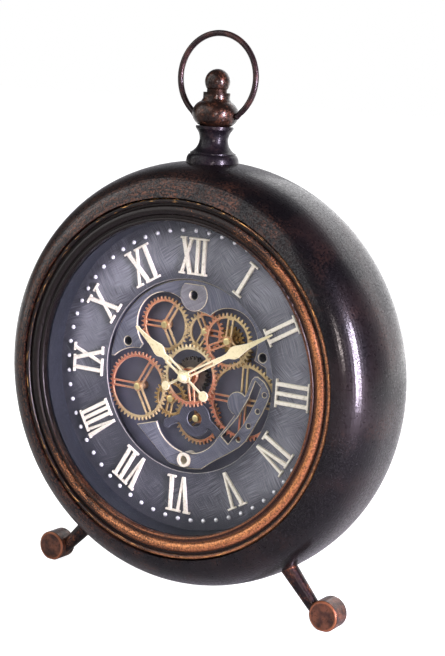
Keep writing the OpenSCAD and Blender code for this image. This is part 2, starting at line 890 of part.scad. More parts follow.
module upper_right_pinion() {
    color(brass) difference() {
        union() {
            rod(upper_right_at, post_r + 1.5, layer_b - 0.8, train_back);
            face_plate(layer_b, wheel_t)
                translate(upper_right_at)
                    toothed(upper_right_pinion_teeth, 0);
            face_plate(layer_c, wheel_t)
                translate(upper_right_at)
                    toothed(upper_right_drive_teeth, 0);
        }
        rod(upper_right_at, post_r + run, layer_a, base_back);
    }
}

module left_wheel() {
    color(red_copper)
        wheel(left_at, left_teeth, left_phase, layer_a, 3, 60, post_r + run, train_back);
}

module upper_middle_wheel() {
    color(red_copper)
        wheel(upper_middle_at, upper_middle_teeth, upper_middle_phase, layer_b, 3, 120, post_r + run,
            train_back);
}

module upper_left_wheel() {
    color(red_copper)
        wheel(upper_left_at, upper_left_teeth, upper_left_phase, layer_b, 3, 60, post_r + run,
            train_back);
}

module right_wheel() {
    color(red_copper)
        wheel(right_at, right_teeth, right_phase, layer_b, 4, 90, post_r + run, train_back);
}

module lower_left_wheel() {
    color(brass)
        wheel(lower_left_at, lower_left_teeth, lower_left_phase, layer_b, 3, 20, post_r + run,
            train_back);
}

module bottom_wheel() {
    color(red_copper)
        wheel(bottom_at, bottom_teeth, bottom_phase, layer_c, 3, 100, post_r + run, train_back);
}

module motor_pinion() {
    color(brass) {
        face_plate(layer_b, layer_c + wheel_t - layer_b)
            translate(motor_at)
                toothed(motor_teeth, motor_phase);
        rod(motor_at, post_r, layer_c, base_back + 6);
    }
}

module gear_motor() {
    motor_r = motor_at[0] - movement_w / 2 - motor_gap;
    color(black_plastic) difference() {
        rod(motor_at, motor_r, base_back, base_back + 12);
        rod(motor_at, post_r + run, base_back - 1, base_back + 6.3);
    }
}

module gear_battery_box() {
    color(black_plastic) difference() {
        face_plate(base_back, movement_depth)
            translate([-box_w / 2, box_top - box_h])
                square([box_w, box_h]);
        face_plate(base_back + box_wall, movement_depth)
            for (i = [0, 1])
                translate([-cell_l / 2 - 1, box_top - box_wall - (i + 1) * 15.1])
                    square([cell_l + 2, 15]);
    }
}

module cell(at) {
    translate([-cell_l / 2, base_back + box_wall + cell_d / 2 + 0.05, at])
        rotate([0, 90, 0]) {
            cylinder(d = cell_d, h = cell_l - 1.2, $fn = 48);
            cylinder(d = 5.4, h = cell_l, $fn = 32);
        }
}

module gear_batteries() {
    color("#5a6a4a")
        for (i = [0, 1])
            cell(box_top - box_wall - (i + 0.5) * 15.1);
}

module switch_body() {
    color(black_plastic) difference() {
        face_plate(base_back, movement_depth)
            translate(switch_at - [switch_w / 2, switch_h / 2])
                square([switch_w, switch_h]);
        face_plate(movement_back - 3, 4)
            translate(switch_at - [slider_w / 2 + 0.15, (slider_foot_h + switch_travel) / 2 + 0.15])
                square([slider_w + 0.3, slider_foot_h + switch_travel + 0.3]);
    }
}

// The slider rests at the lower end of its slot
module switch_slider() {
    low = switch_at[1] - switch_travel / 2;
    color(steel) {
        face_plate(movement_back - 2.9, 3.4)
            translate([switch_at[0] - slider_w / 2, low - slider_foot_h / 2])
                square([slider_w, slider_foot_h]);
        face_plate(movement_back + 0.4, 2.4)
            translate([switch_at[0] - slider_w / 2, low - 1.5])
                square([slider_w, 3]);
    }
}

// Clock movement and hands

knob_at = [0, -12];
cell_bay_z = movement_w / 2 - 10.5;

module movement_case() {
    color(black_plastic) difference() {
        union() {
            face_plate(base_back, movement_depth)
                translate([-movement_w / 2, -movement_w / 2])
                    square(movement_w);
            rod([0, 0], stem_r, stem_front, base_back + 1);
        }
        rod([0, 0], pipe_r + run, stem_front - 1, base_back + 2.3);
        rod([0, 0], arbor_r + run, base_back, base_back + 8.3);
        rod(knob_at, post_r + run, movement_back - 6.3, movement_back + 1);
        face_plate(base_back + box_wall, movement_depth)
            translate([-cell_l / 2 - 1, cell_bay_z - 7.5])
                square([cell_l + 2, 15]);
    }
}

module stem_nut() {
    color(brass)
        face_plate(1.2, 1.5)
            difference() {
                circle(r = 6, $fn = 6);
                circle(r = stem_r + run, $fn = 48);
            }
}

module hour_pipe() {
    color(brass) difference() {
        union() {
            rod([0, 0], pipe_r, hour_front, base_back + 2);
            rod([0, 0], pipe_r + 1.2, hour_back, stem_front - gap);
        }
        rod([0, 0], arbor_r + run, hour_front - 1, base_back + 3);
    }
}

module minute_arbor() {
    color(brass) {
        rod([0, 0], arbor_r, cap_front + 0.8, base_back + 8);
        rod([0, 0], arbor_r + 0.8, minute_back, hour_front - gap);
    }
}

// A blade drawn upwards from its centre: half widths at distances along it, with a slot by the hub
module blade(points, slot_from, slot_to, slot_w, tail_l, tail_r, hub, bore) {
    difference() {
        union() {
            circle(r = hub, $fn = 48);
            polygon(concat(
                [for (p = points) [p[1], p[0]]],
                [for (p = reversed(points)) [-p[1], p[0]]]
            ));
            translate([-0.9, -tail_l])
                square([1.8, tail_l]);
            translate([0, -tail_l])
                circle(r = tail_r, $fn = 48);
        }
        circle(r = bore, $fn = 48);
        translate([-slot_w / 2, slot_from])
            square([slot_w, slot_to - slot_from]);
    }
}

module hour_hand() {
    l = hour_l;
    color(gold)
        face_plate(hour_front, hand_t)
            rotate(-hour_angle)
                blade([[0, 2.4], [17, 2.5], [20, 2], [21.5, 2], [25.5, 4.3], [28, 4.4], [31, 3.5],
                    [36, 2.2], [l - 8, 1.4], [l - 4, 1.1], [l - 2, 1.5], [l, 0.5]],
                    6, 17, 1.8, 19.3, 3.6, 4.4, pipe_r + 0.02);
}

module minute_hand() {
    l = minute_l;
    color(gold)
        face_plate(minute_front, hand_t)
            rotate(-minute_angle)
                blade([[0, 2.1], [28, 2], [36, 1.6], [39.5, 1.9], [44, 4.2], [47, 4.3], [51, 3.3],
                    [57, 2], [l - 10, 1.3], [l - 4, 0.9], [l, 0.4]],
                    6, 27, 1.5, 15.4, 3.1, 3.6, arbor_r + 0.02);
}

module hand_cap() {
    color(gold) difference() {
        rotate([-90, 0, 0])
            rotate_extrude($fn = 48)
                polygon([[0, cap_front], [1.6, cap_front + 0.25], [2.6, cap_front + 0.9],
                    [3, cap_front + 1.7], [3, minute_front], [0, minute_front]]);
        rod([0, 0], arbor_r + 0.02, cap_front + 0.8, minute_front + 1);
    }
}

module setting_knob() {
    color(black_plastic) {
        rod(knob_at, post_r, movement_back - 6, movement_back + gap + 0.1);
        face_plate(movement_back + gap, 3.5)
            translate(knob_at)
                difference() {
                    circle(d = knob_d, $fn = 48);
                    for (i = [0 : 11])
                        rotate(i * 30)
                            translate([knob_d / 2 + 0.4, 0])
                                circle(r = 0.9, $fn = 24);
                }
    }
}

module clock_battery() {
    color("#5a6a4a")
        cell(cell_bay_z);
}

// Finial and bail

module finial_base() {
    flange_r = finial_flange_d / 2;
    color(bronze) difference() {
        translate([0, hardware_y, 0])
            rotate_extrude($fn = 96)
                difference() {
                    union() {
                        polygon(concat(
                            [[0, finial_z - 4], [flange_r, finial_z - 4]],
                            [for (a = [0 : 15 : 90])
                                [flange_r - 2.4 + 2.4 * cos(a), finial_lip_z + 5.5 * sin(a)]],
                            [[0, finial_lip_z + 5.5]]
                        ));
                        translate([0, finial_lip_z + 5.4])
                            square([flange_r - 2.4, finial_base_top - finial_lip_z - 7]);
                        translate([0, finial_base_top - 1.6])
                            square([12.8, 1.6]);
                    }
                    translate([19.7, finial_lip_z + 15.6])
                        circle(r = 10, $fn = 96);
                    translate([12.3, finial_lip_z + 18])
                        square([10, finial_base_top - finial_lip_z - 19.6]);
                }
        case_solid(-0.05);
        translate([0, hardware_y, finial_z - 10])
            cylinder(r = finial_rod_d / 2 + slip, h = 60, $fn = 48);
    }
}

module finial_bead() {
    color(bronze) difference() {
        translate([0, hardware_y, 0])
            rotate_extrude($fn = 96)
                intersection() {
                    union() {
                        translate([finial_bead_d / 2 - bead_section_r, bead_mid])
                            circle(r = bead_section_r, $fn = 96);
                        translate([0, bead_mid - bead_section_r + 0.2])
                            square([finial_bead_d / 2 - bead_section_r, 2 * bead_section_r - 0.4]);
                        polygon([[0, bead_mid], [collar_r + 1.2, bead_mid],
                            [collar_r + 1.2, bead_mid + 8], [collar_r, bead_mid + 10],
                            [collar_r, bead_top], [0, bead_top]]);
                    }
                    translate([0, finial_base_top])
                        square([30, bead_top - finial_base_top]);
                }
        translate([0, hardware_y, finial_base_top - 1])
            cylinder(r = finial_rod_d / 2 + slip, h = 60, $fn = 48);
        for (side = [-1, 1])
            translate([0, hardware_y, bail_pivot_z])
                rotate([0, side * 90, 0]) {
                    translate([0, 0, 8])
                        cylinder(r = bail_pin_r + run, h = 12, $fn = 48);
                    translate([0, 0, bail_seat_x])
                        cylinder(r = bail_wire_r + 0.25, h = 12, $fn = 48);
                }
    }
}

module finial_ball() {
    color(bronze) difference() {
        translate([0, hardware_y, 0])
            rotate_extrude($fn = 96)
                intersection() {
                    union() {
                        translate([0, ball_centre_z])
                            circle(d = finial_ball_d, $fn = 96);
                        translate([0, bead_top])
                            square([6.8, 3]);
                    }
                    translate([0, bead_top])
                        square([20, 40]);
                }
        translate([0, hardware_y, bead_top - 1])
            cylinder(r = finial_rod_d / 2 + slip, h = 10, $fn = 48);
    }
}

module finial_rod() {
    color(steel)
        translate([0, hardware_y, finial_z - 12])
            cylinder(d = finial_rod_d, h = bead_top + 8.8 - finial_z + 12, $fn = 48);
}

module finial_nut() {
    color(steel) difference() {
        intersection() {
            translate([0, hardware_y, finial_z - 7])
                linear_extrude(height = 10)
                    circle(r = 5, $fn = 6);
            case_solid(case_wall + 0.05);
        }
        translate([0, hardware_y, finial_z - 20])
            cylinder(r = finial_rod_d / 2 + run, h = 40, $fn = 48);
    }
}

module bail_ring() {
    end_x = bail_r * cos(bail_open_angle);
    end_z = bail_centre_z - bail_r * sin(bail_open_angle);
    rise = [end_x - bail_elbow_x, end_z - bail_pivot_z];
    color(bronze)
        translate([0, hardware_y, 0]) {
            translate([0, 0, bail_centre_z])
                rotate([90, 0, 0])
                    rotate(-bail_open_angle)
                        rotate_extrude(angle = 180 + 2 * bail_open_angle, $fn = 120)
                            translate([bail_r, 0])
                                circle(r = bail_wire_r, $fn = 48);
            for (side = [-1, 1])
                translate([side * bail_elbow_x, 0, bail_pivot_z]) {
                    sphere(r = bail_wire_r, $fn = 48);
                    rotate([0, side * atan2(rise[0], rise[1]), 0])
                        cylinder(r = bail_wire_r - 0.15, h = norm(rise) + 1, $fn = 48);
                    rotate([0, -side * 90, 0])
                        cylinder(r = bail_pin_r, h = bail_elbow_x - 9, $fn = 48);
                }
        }
}

// Legs and feet

module front_leg_place(side) {
    translate([side * front_leg_at[0], front_leg_at[1], front_leg_at[2]])
        rotate([0, -side * leg_splay, 0])
            children();
}

module rear_leg_place() {
    translate(rear_foot_at)
        rotate([rear_leg_lean, 0, 0])
            children();
}

module leg_bore() {
    cylinder(r = stud_r + slip, h = 70, $fn = 48);
}

// The leg runs up from inside the foot and is cut to the foot and the case
module leg_body(low, length) {
    translate([0, 0, low])
        cylinder(d1 = leg_foot_d, d2 = leg_top_d, h = length - low, $fn = 64);
    translate([0, 0, length])
        cylinder(d = leg_top_d, h = 10, $fn = 64);
}

module leg_stud(low, seat) {
    translate([0, 0, low])
        cylinder(r = stud_r, h = seat + nut_h + 3 - low, $fn = 48);
}

module stud_socket(low) {
    translate([0, 0, low - 0.3])
        cylinder(r = stud_r + run, h = 26, $fn = 48);
}

module drum(r) {
    rotate([90, 0, 0])
        translate([0, 0, -20])
            cylinder(r = r, h = 40, $fn = 96);
}

module front_leg(side) {
    color(bronze) {
        difference() {
            front_leg_place(side)
                rotate([0, 0, side > 0 ? 180 : 0])
                    leg_body(front_stud_low + 1, front_reach);
            case_solid(-0.05);
            translate([side * foot_spread / 2, hardware_y, foot_z])
                drum(foot_r + 0.05);
        }
        front_leg_place(side)
            leg_stud(front_stud_low, front_seat);
    }
}

module left_leg() {
    front_leg(-1);
}

module right_leg() {
    front_leg(1);
}

module rear_leg() {
    color(bronze) {
        difference() {
            rear_leg_place()
                leg_body(0, rear_reach);
            case_solid(-0.05);
            translate(rear_foot_at)
                rotate([0, 0, 90])
                    drum(foot_r + 0.05);
        }
        rear_leg_place()
            leg_stud(0, rear_seat);
    }
}

// A drum along Y with softened edges, ground flat below and bored for its leg
module foot() {
    edge = 1;
    difference() {
        rotate([90, 0, 0])
            rotate_extrude($fn = 96)
                polygon([
                    [0, -foot_l / 2], [foot_r - edge, -foot_l / 2], [foot_r, edge - foot_l / 2],
                    [foot_r, foot_l / 2 - edge], [foot_r - edge, foot_l / 2], [0, foot_l / 2]
                ]);
        translate([-foot_r, -foot_l, -foot_r - 1])
            cube([foot_d, 2 * foot_l, 1 + foot_flat]);
    }
}

module front_foot(side) {
    color(bronze) difference() {
        translate([side * foot_spread / 2, hardware_y, foot_z])
            foot();
        front_leg_place(side)
            stud_socket(front_stud_low);
    }
}

module left_foot() {
    front_foot(-1);
}

module right_foot() {
    front_foot(1);
}

module rear_foot() {
    color(bronze) difference() {
        translate(rear_foot_at)
            rotate([0, 0, 90])
                foot();
        rear_leg_place()
            stud_socket(0);
    }
}

// A hexagon nut on the stud, and a saddle washer that is cut to the inside of the shell
module leg_nut(seat) {
    translate([0, 0, seat])
        difference() {
            linear_extrude(height = nut_h)
                circle(r = 5, $fn = 6);
            translate([0, 0, -1])
                cylinder(r = stud_r + run, h = nut_h + 2, $fn = 48);
        }
}

module leg_washer(seat) {
    translate([0, 0, seat - washer_t - 2])
        difference() {
            cylinder(r = washer_r, h = washer_t + 2, $fn = 48);
            translate([0, 0, -1])
                cylinder(r = stud_r + run, h = washer_t + 4, $fn = 48);
        }
}

module leg_nuts() {
    color(steel) {
        for (side = [-1, 1]) {
            intersection() {
                front_leg_place(side)
                    leg_washer(front_seat);
                case_solid(case_wall + 0.05);
            }
            front_leg_place(side)
                leg_nut(front_seat);
        }
        intersection() {
            rear_leg_place()
                leg_washer(rear_seat);
            case_solid(case_wall + 0.05);
        }
        rear_leg_place()
            leg_nut(rear_seat);
    }
}

in_clock() case_shell();
in_clock() bezel();
in_clock() bezel_screws();
in_clock() lens_glass();
in_clock() rehaut_ring();
in_clock() dial();
in_clock() numerals();
in_clock() minute_studs();
in_clock() rear_cover();
in_clock() rear_cover_screws();
in_clock() opening_wall();
in_clock() base_plate();
in_clock() module_spacers();
in_clock() module_screws();
in_clock() upper_plate();
in_clock() top_tab();
in_clock() lower_bridge();
in_clock() bridge_boss();
in_clock() centre_bridge();
in_clock() plate_pillars();
in_clock() gear_posts();
in_clock() centre_wheel();
in_clock() centre_pinion();
in_clock() upper_right_wheel();
in_clock() upper_right_pinion();
in_clock() left_wheel();
in_clock() upper_middle_wheel();
in_clock() upper_left_wheel();
in_clock() right_wheel();
in_clock() lower_left_wheel();
in_clock() bottom_wheel();
in_clock() motor_pinion();
in_clock() gear_motor();
in_clock() gear_battery_box();
in_clock() gear_batteries();
in_clock() switch_body();
in_clock() switch_slider();
in_clock() movement_case();
in_clock() stem_nut();
in_clock() hour_pipe();
in_clock() minute_arbor();
in_clock() hour_hand();
in_clock() minute_hand();
in_clock() hand_cap();
in_clock() setting_knob();
in_clock() clock_battery();
in_clock() finial_base();
in_clock() finial_bead();
in_clock() finial_ball();
in_clock() finial_rod();
in_clock() finial_nut();
in_clock() bail_ring();
in_clock() left_leg();
in_clock() right_leg();
in_clock() rear_leg();
in_clock() left_foot();
in_clock() right_foot();
in_clock() rear_foot();
in_clock() leg_nuts();
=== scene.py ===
"""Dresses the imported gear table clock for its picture.

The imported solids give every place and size. This script adds the finishes, cuts bevelled copies of
the stamped sheet pieces from the solids' own outlines, turns the wheels' hubs and sets the domed
studs. Lengths inside the classes are millimetres in the dial's frame, turned to metres by one
function.
"""

import logging
import math
from dataclasses import dataclass, field

import bmesh
import bpy
from mathutils import Matrix, Vector

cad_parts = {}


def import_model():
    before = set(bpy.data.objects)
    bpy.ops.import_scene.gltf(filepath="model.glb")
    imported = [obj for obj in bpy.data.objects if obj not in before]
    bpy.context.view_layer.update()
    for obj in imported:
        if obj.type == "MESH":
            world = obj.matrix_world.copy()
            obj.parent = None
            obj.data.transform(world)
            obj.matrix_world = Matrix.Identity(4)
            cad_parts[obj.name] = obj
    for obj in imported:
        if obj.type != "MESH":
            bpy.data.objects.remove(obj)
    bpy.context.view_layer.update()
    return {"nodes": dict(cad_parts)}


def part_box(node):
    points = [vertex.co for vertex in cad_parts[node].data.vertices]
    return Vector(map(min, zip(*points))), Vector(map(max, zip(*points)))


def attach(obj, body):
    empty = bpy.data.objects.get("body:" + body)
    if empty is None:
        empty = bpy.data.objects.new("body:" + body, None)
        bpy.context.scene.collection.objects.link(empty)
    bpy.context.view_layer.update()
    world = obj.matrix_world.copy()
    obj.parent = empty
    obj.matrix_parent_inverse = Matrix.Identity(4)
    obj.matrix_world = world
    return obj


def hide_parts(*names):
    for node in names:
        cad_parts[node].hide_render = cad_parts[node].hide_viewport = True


LOG = logging.getLogger("gear_clock")

Point = tuple[float, float, float]
Flat = tuple[float, float]
Loop = list[Flat]

DIAL_Y = -34.4887
AXIS_Z = 156.2

PLATED = " copper plate"
WHITE = (1.0, 1.0, 1.0, 1.0)
COLOUR = {"data_type": "RGBA"}
SMOOTH = {"interpolation_type": "SMOOTHSTEP"}


def metres(x: float, y: float, z: float) -> Vector:
    """Turns a place in the dial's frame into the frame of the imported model.

    Args:
        x: Millimetres to the right of the dial's axis, as seen from the front.
        y: Millimetres behind the dial's front face.
        z: Millimetres above the dial's axis.

    Returns:
        The same place in metres, with the floor at zero.
    """
    return Vector((x / 1000, (y + DIAL_Y) / 1000, (z + AXIS_Z) / 1000))


def linear(hex_code: str) -> tuple[float, float, float, float]:
    """Turns an sRGB hex colour into the linear colour that a shader socket takes.

    Args:
        hex_code: Six hex digits.

    Returns:
        Red, green, blue and an alpha of one.
    """
    parts = [int(hex_code[i : i + 2], 16) / 255 for i in (0, 2, 4)]
    red, green, blue = (p / 12.92 if p <= 0.04045 else ((p + 0.055) / 1.055) ** 2.4 for p in parts)
    return (red, green, blue, 1.0)


class Nodes:
    """A node tree and the one way in which nodes are added to it."""

    def __init__(self, tree: bpy.types.NodeTree) -> None:
        """Starts from an empty tree.

        Args:
            tree: The tree, whose nodes are cleared away.
        """
        self.tree = tree
        tree.nodes.clear()

    def feed(self, node: bpy.types.Node, inputs: dict | list | tuple) -> None:
        """Sets or links a node's inputs.

        Args:
            node: The node.
            inputs: Values, output sockets, or nodes that stand for their first output in use. They
                go by socket name or index, or in the sockets' own order.
        """
        pairs = inputs.items() if isinstance(inputs, dict) else enumerate(inputs)
        for key, value in pairs:
            if isinstance(value, bpy.types.Node):
                value = next(socket for socket in value.outputs if socket.enabled)
            if isinstance(value, bpy.types.NodeSocket):
                self.tree.links.new(value, node.inputs[key])
            else:
                node.inputs[key].default_value = value

    def add(self, kind: str, inputs: dict | list | tuple = (), **settings: object) -> bpy.types.Node:
        """Adds one node with its settings, values and links.

        Args:
            kind: Blender's identifier of the node type, whose leading ShaderNode is left off.
            inputs: What goes into it, in any form that feed takes.
            **settings: Attributes of the node itself.

        Returns:
            The new node.
        """
        node = self.tree.nodes.new(kind if "Node" in kind else "ShaderNode" + kind)
        for name, value in settings.items():
            setattr(node, name, value)
        self.feed(node, inputs)
        return node


class Surface(Nodes):
    """A material in the making: its shader, and the place on the object in millimetres from the
    dial's centre."""

    stroke_radius: float = 125.0

    def __init__(self, name: str) -> None:
        """Makes the empty material.

        Args:
            name: The material's name.
        """
        self.material = bpy.data.materials.new(name)
        self.material.use_nodes = True
        super().__init__(self.material.node_tree)
        where = self.add("TexCoord").outputs["Object"]
        centred = {"Vector": where, "Location": (0, -DIAL_Y, -AXIS_Z), "Scale": (1000, 1000, 1000)}
        self.place = self.add("Mapping", centred, vector_type="POINT")
        self.shader = self.add("BsdfPrincipled")
        self.add("OutputMaterial", {"Surface": self.shader})

    def flat(self) -> bpy.types.Node:
        """Gives the place with its depth taken out."""
        return self.add("VectorMath", [self.place, (1, 0, 1)], operation="MULTIPLY")

    def radius(self) -> bpy.types.Node:
        """Gives the distance from the dial's axis in millimetres."""
        return self.add("VectorMath", [self.flat()], operation="LENGTH")

    def outward(self) -> bpy.types.Node:
        """Gives the direction away from the dial's axis."""
        return self.add("VectorMath", [self.flat()], operation="NORMALIZE")

    def side(self, towards: float) -> bpy.types.Node:
        """Tells which side of the dial's axis a place is on.

        Args:
            towards: The side's direction in degrees, counter-clockwise from the right.

        Returns:
            1 on that side of the axis, -1 on the other.
        """
        turn = math.radians(towards)
        aim = (math.cos(turn), 0, math.sin(turn))
        return self.add("VectorMath", [self.outward(), aim], operation="DOT_PRODUCT")

    def streaks(self, length: float, width: float) -> bpy.types.Node:
        """Gives a pattern of strokes that run round the dial's axis.

        Args:
            length: The length of one stroke in millimetres, out at the case's mouth.
            width: The width of one stroke in millimetres.

        Returns:
            A value of about 0 to 1.
        """
        depth = self.add("VectorMath", [self.place, (0, 1 / width, 0)], operation="MULTIPLY")
        along = (self.stroke_radius / length, 1, self.stroke_radius / length)
        spot = self.add("VectorMath", [self.outward(), along, depth], operation="MULTIPLY_ADD")
        across = self.add("Math", [self.radius(), width], operation="DIVIDE")
        drawn = {"Vector": spot, "W": across, "Scale": 1.0, "Detail": 3.0}
        return self.add("TexNoise", drawn, noise_dimensions="4D")


@dataclass(frozen=True)
class Finish:
    """What every finish has: a name, and one shader over the whole surface."""

    name: str

    def build(self) -> bpy.types.Material:
        """Builds the finish.

        Returns:
            The material.
        """
        surface = Surface(self.name)
        self.paint(surface)
        return surface.material

    def paint(self, surface: Surface) -> None:
        """Sets the shader's colour, gloss and grain.

        Args:
            surface: The surface in the making.
        """
        raise NotImplementedError


@dataclass(frozen=True)
class RubbedBronze(Finish):
    """Spun steel under oil-rubbed bronze lacquer: nearly black, with metallic flakes that break up
    the highlights, and rust brown where a cloth has rubbed it through.

    Real flakes are a few tenths of a millimetre wide, finer than the picture's pixels, so they are
    drawn 1.5 mm wide.
    """

    dark: str = "080608"
    brown: str = "140e0f"
    copper: str = "5e3a28"
    rub: float = 0.5
    grain: float = 20.0
    gloss: float = 0.95
    metal: float = 0.35
    flecks: Flat = (0.4, 0.62)
    # Heights in millimetres of a band painted dark as shade, without copper or coat; None leaves it out
    painted_shade_band: Flat | None = None
    flake: float = 1.5
    coat_patch: float = 1.0
    coat_range: Flat = (0.12, 0.72)
    rough_range: Flat = (0.26, 0.5)
    fade: float = 0.8
    relief: float = 0.16

    def paint(self, surface: Surface) -> None:
        """Lays the lacquer, its flakes and its uneven gloss.

        Args:
            surface: The surface in the making.
        """
        add, place = surface.add, surface.place
        cloud = add("TexNoise", {"Vector": place, "Scale": 0.5 / self.grain, "Detail": 2})
        cloud = add("MapRange", [cloud, 0.42, 0.68], **SMOOTH)
        base = add("Mix", {0: cloud, 6: linear(self.dark), 7: linear(self.brown)}, **COLOUR)
        fleck = add("TexNoise", {"Vector": place, "Scale": 1 / self.flake, "Detail": 3})
        shown = add("MapRange", [fleck, *self.flecks, 0, self.rub], **SMOOTH)
        wear_and_painted_light = add("Math", [self.mask(surface), shown], operation="MULTIPLY")
        gaps = add("TexNoise", {"Vector": place, "Scale": 1 / self.coat_patch, "Detail": 2})
        thin, thick = (self.gloss * end for end in self.coat_range)
        coat = add("MapRange", [gaps, 0.38, 0.64, thin, thick])
        # Painted shade: copper and coat are taken out of the band, so it stays dark as in shadow
        if self.painted_shade_band:
            low, high = self.painted_shade_band
            height = add("SeparateXYZ", [place]).outputs["Z"]
            below = add("MapRange", [height, low, low - self.fade], **SMOOTH)
            above = add("MapRange", [height, high, high + self.fade], **SMOOTH)
            outside_painted_shade = add("Math", [below, above], operation="MAXIMUM")
            wear_and_painted_light = add("Math", [wear_and_painted_light, outside_painted_shade], operation="MULTIPLY")
            coat = add("Math", [coat, outside_painted_shade], operation="MULTIPLY")
        surface.feed(
            surface.shader,
            {
                "Base Color": add("Mix", {0: wear_and_painted_light, 6: base, 7: linear(self.copper)}, **COLOUR),
                "Roughness": add("MapRange", [fleck, 0.35, 0.65, *self.rough_range]),
                "Metallic": self.metal,
                "Specular IOR Level": 0.09,
                "Coat Weight": coat,
                "Coat Roughness": 0.18,
                "Normal": add("Bump", {"Height": fleck, "Strength": 1.0, "Distance": self.relief / 1000}),
            },
        )

    def mask(self, surface: Surface) -> bpy.types.Node:
        """Tells where the lacquer is rubbed through.

        Args:
            surface: The surface in the making.

        Returns:
            0 where it is sound, 1 where it is gone.
        """
        patch = surface.add("TexNoise", {"Vector": surface.place, "Scale": 1 / self.grain, "Detail": 4})
        return surface.add("MapRange", [patch, 0.46, 0.7], **SMOOTH)


@dataclass(frozen=True)
class RubbedShell(RubbedBronze):
    """The same lacquer on the case, rubbed in strokes round the mouth and a little on its side."""

    mouth: float = 122.5
    rubbed_band: Flat = (4.0, 22.0)
    worn_side: float = 165.0
    side_gain: float = 0.32
    stroke: Flat = (9.0, 0.9)
    flank_wear: float = 0.14

    def mask(self, surface: Surface) -> bpy.types.Node:
        """Tells where the lacquer is rubbed through.

        Args:
            surface: The surface in the making.

        Returns:
            0 where it is sound, 1 where it is gone.
        """
        add, place = surface.add, surface.place
        inner, outer = (self.mouth + reach for reach in self.rubbed_band)
        near = add("MapRange", [surface.radius(), inner, outer, 1, 0], **SMOOTH)
        strokes = add("MapRange", [surface.streaks(*self.stroke), 0.36, 0.6], **SMOOTH)
        cloud = add("TexNoise", {"Vector": place, "Scale": 1 / self.grain, "Detail": 3})
        side = surface.side(self.worn_side)
        patch = add("Math", [side, self.side_gain, cloud], operation="MULTIPLY_ADD")
        patch = add("MapRange", [patch, 0.36, 0.62], **SMOOTH)
        front = add("Math", [near, strokes], operation="MULTIPLY")
        front = add("Math", [front, patch], operation="MULTIPLY")
        flank = add("TexNoise", {"Vector": place, "Scale": 1 / (self.grain * 1.4), "Detail": 3})
        flank = add("MapRange", [flank, 0.52, 0.74, 0, self.flank_wear], **SMOOTH)
        return add("Math", [front, flank], operation="MAXIMUM")


@dataclass(frozen=True)
class RubbedDrum(RubbedBronze):
    """The same lacquer on a foot, whose rim is bright copper: polished there, with a painted highlight along
    it.
    """

    flecks: Flat = (0.0, 0.3)
    centre: Flat = (0.0, 0.0)
    rim: float = 9.7
    rim_wear_and_highlight: float = 0.55
    face_wear: float = 0.2

    def mask(self, surface: Surface) -> bpy.types.Node:
        """Tells where the lacquer is rubbed through, with a painted highlight at the rim.

        Args:
            surface: The surface in the making.

        Returns:
            0 where it is sound, 1 where it is gone.
        """
        add = surface.add
        middle = (self.centre[0], 0, self.centre[1])
        reach = add("VectorMath", [surface.flat(), middle], operation="DISTANCE")
        # The copper ring at the rim is wear together with a painted highlight
        inside = add("MapRange", [reach, self.rim - 1.3, self.rim - 0.2, 0, self.rim_wear_and_highlight], **SMOOTH)
        outside = add("MapRange", [reach, self.rim + 0.5, self.rim + 0.9, 1, 0], **SMOOTH)
        ring = add("Math", [inside, outside], operation="MULTIPLY")
        patch = add("TexNoise", {"Vector": surface.place, "Scale": 1 / self.grain, "Detail": 4})
        patch = add("MapRange", [patch, 0.36, 0.72, 0, self.face_wear], **SMOOTH)
        return add("Math", [ring, patch], operation="MAXIMUM")


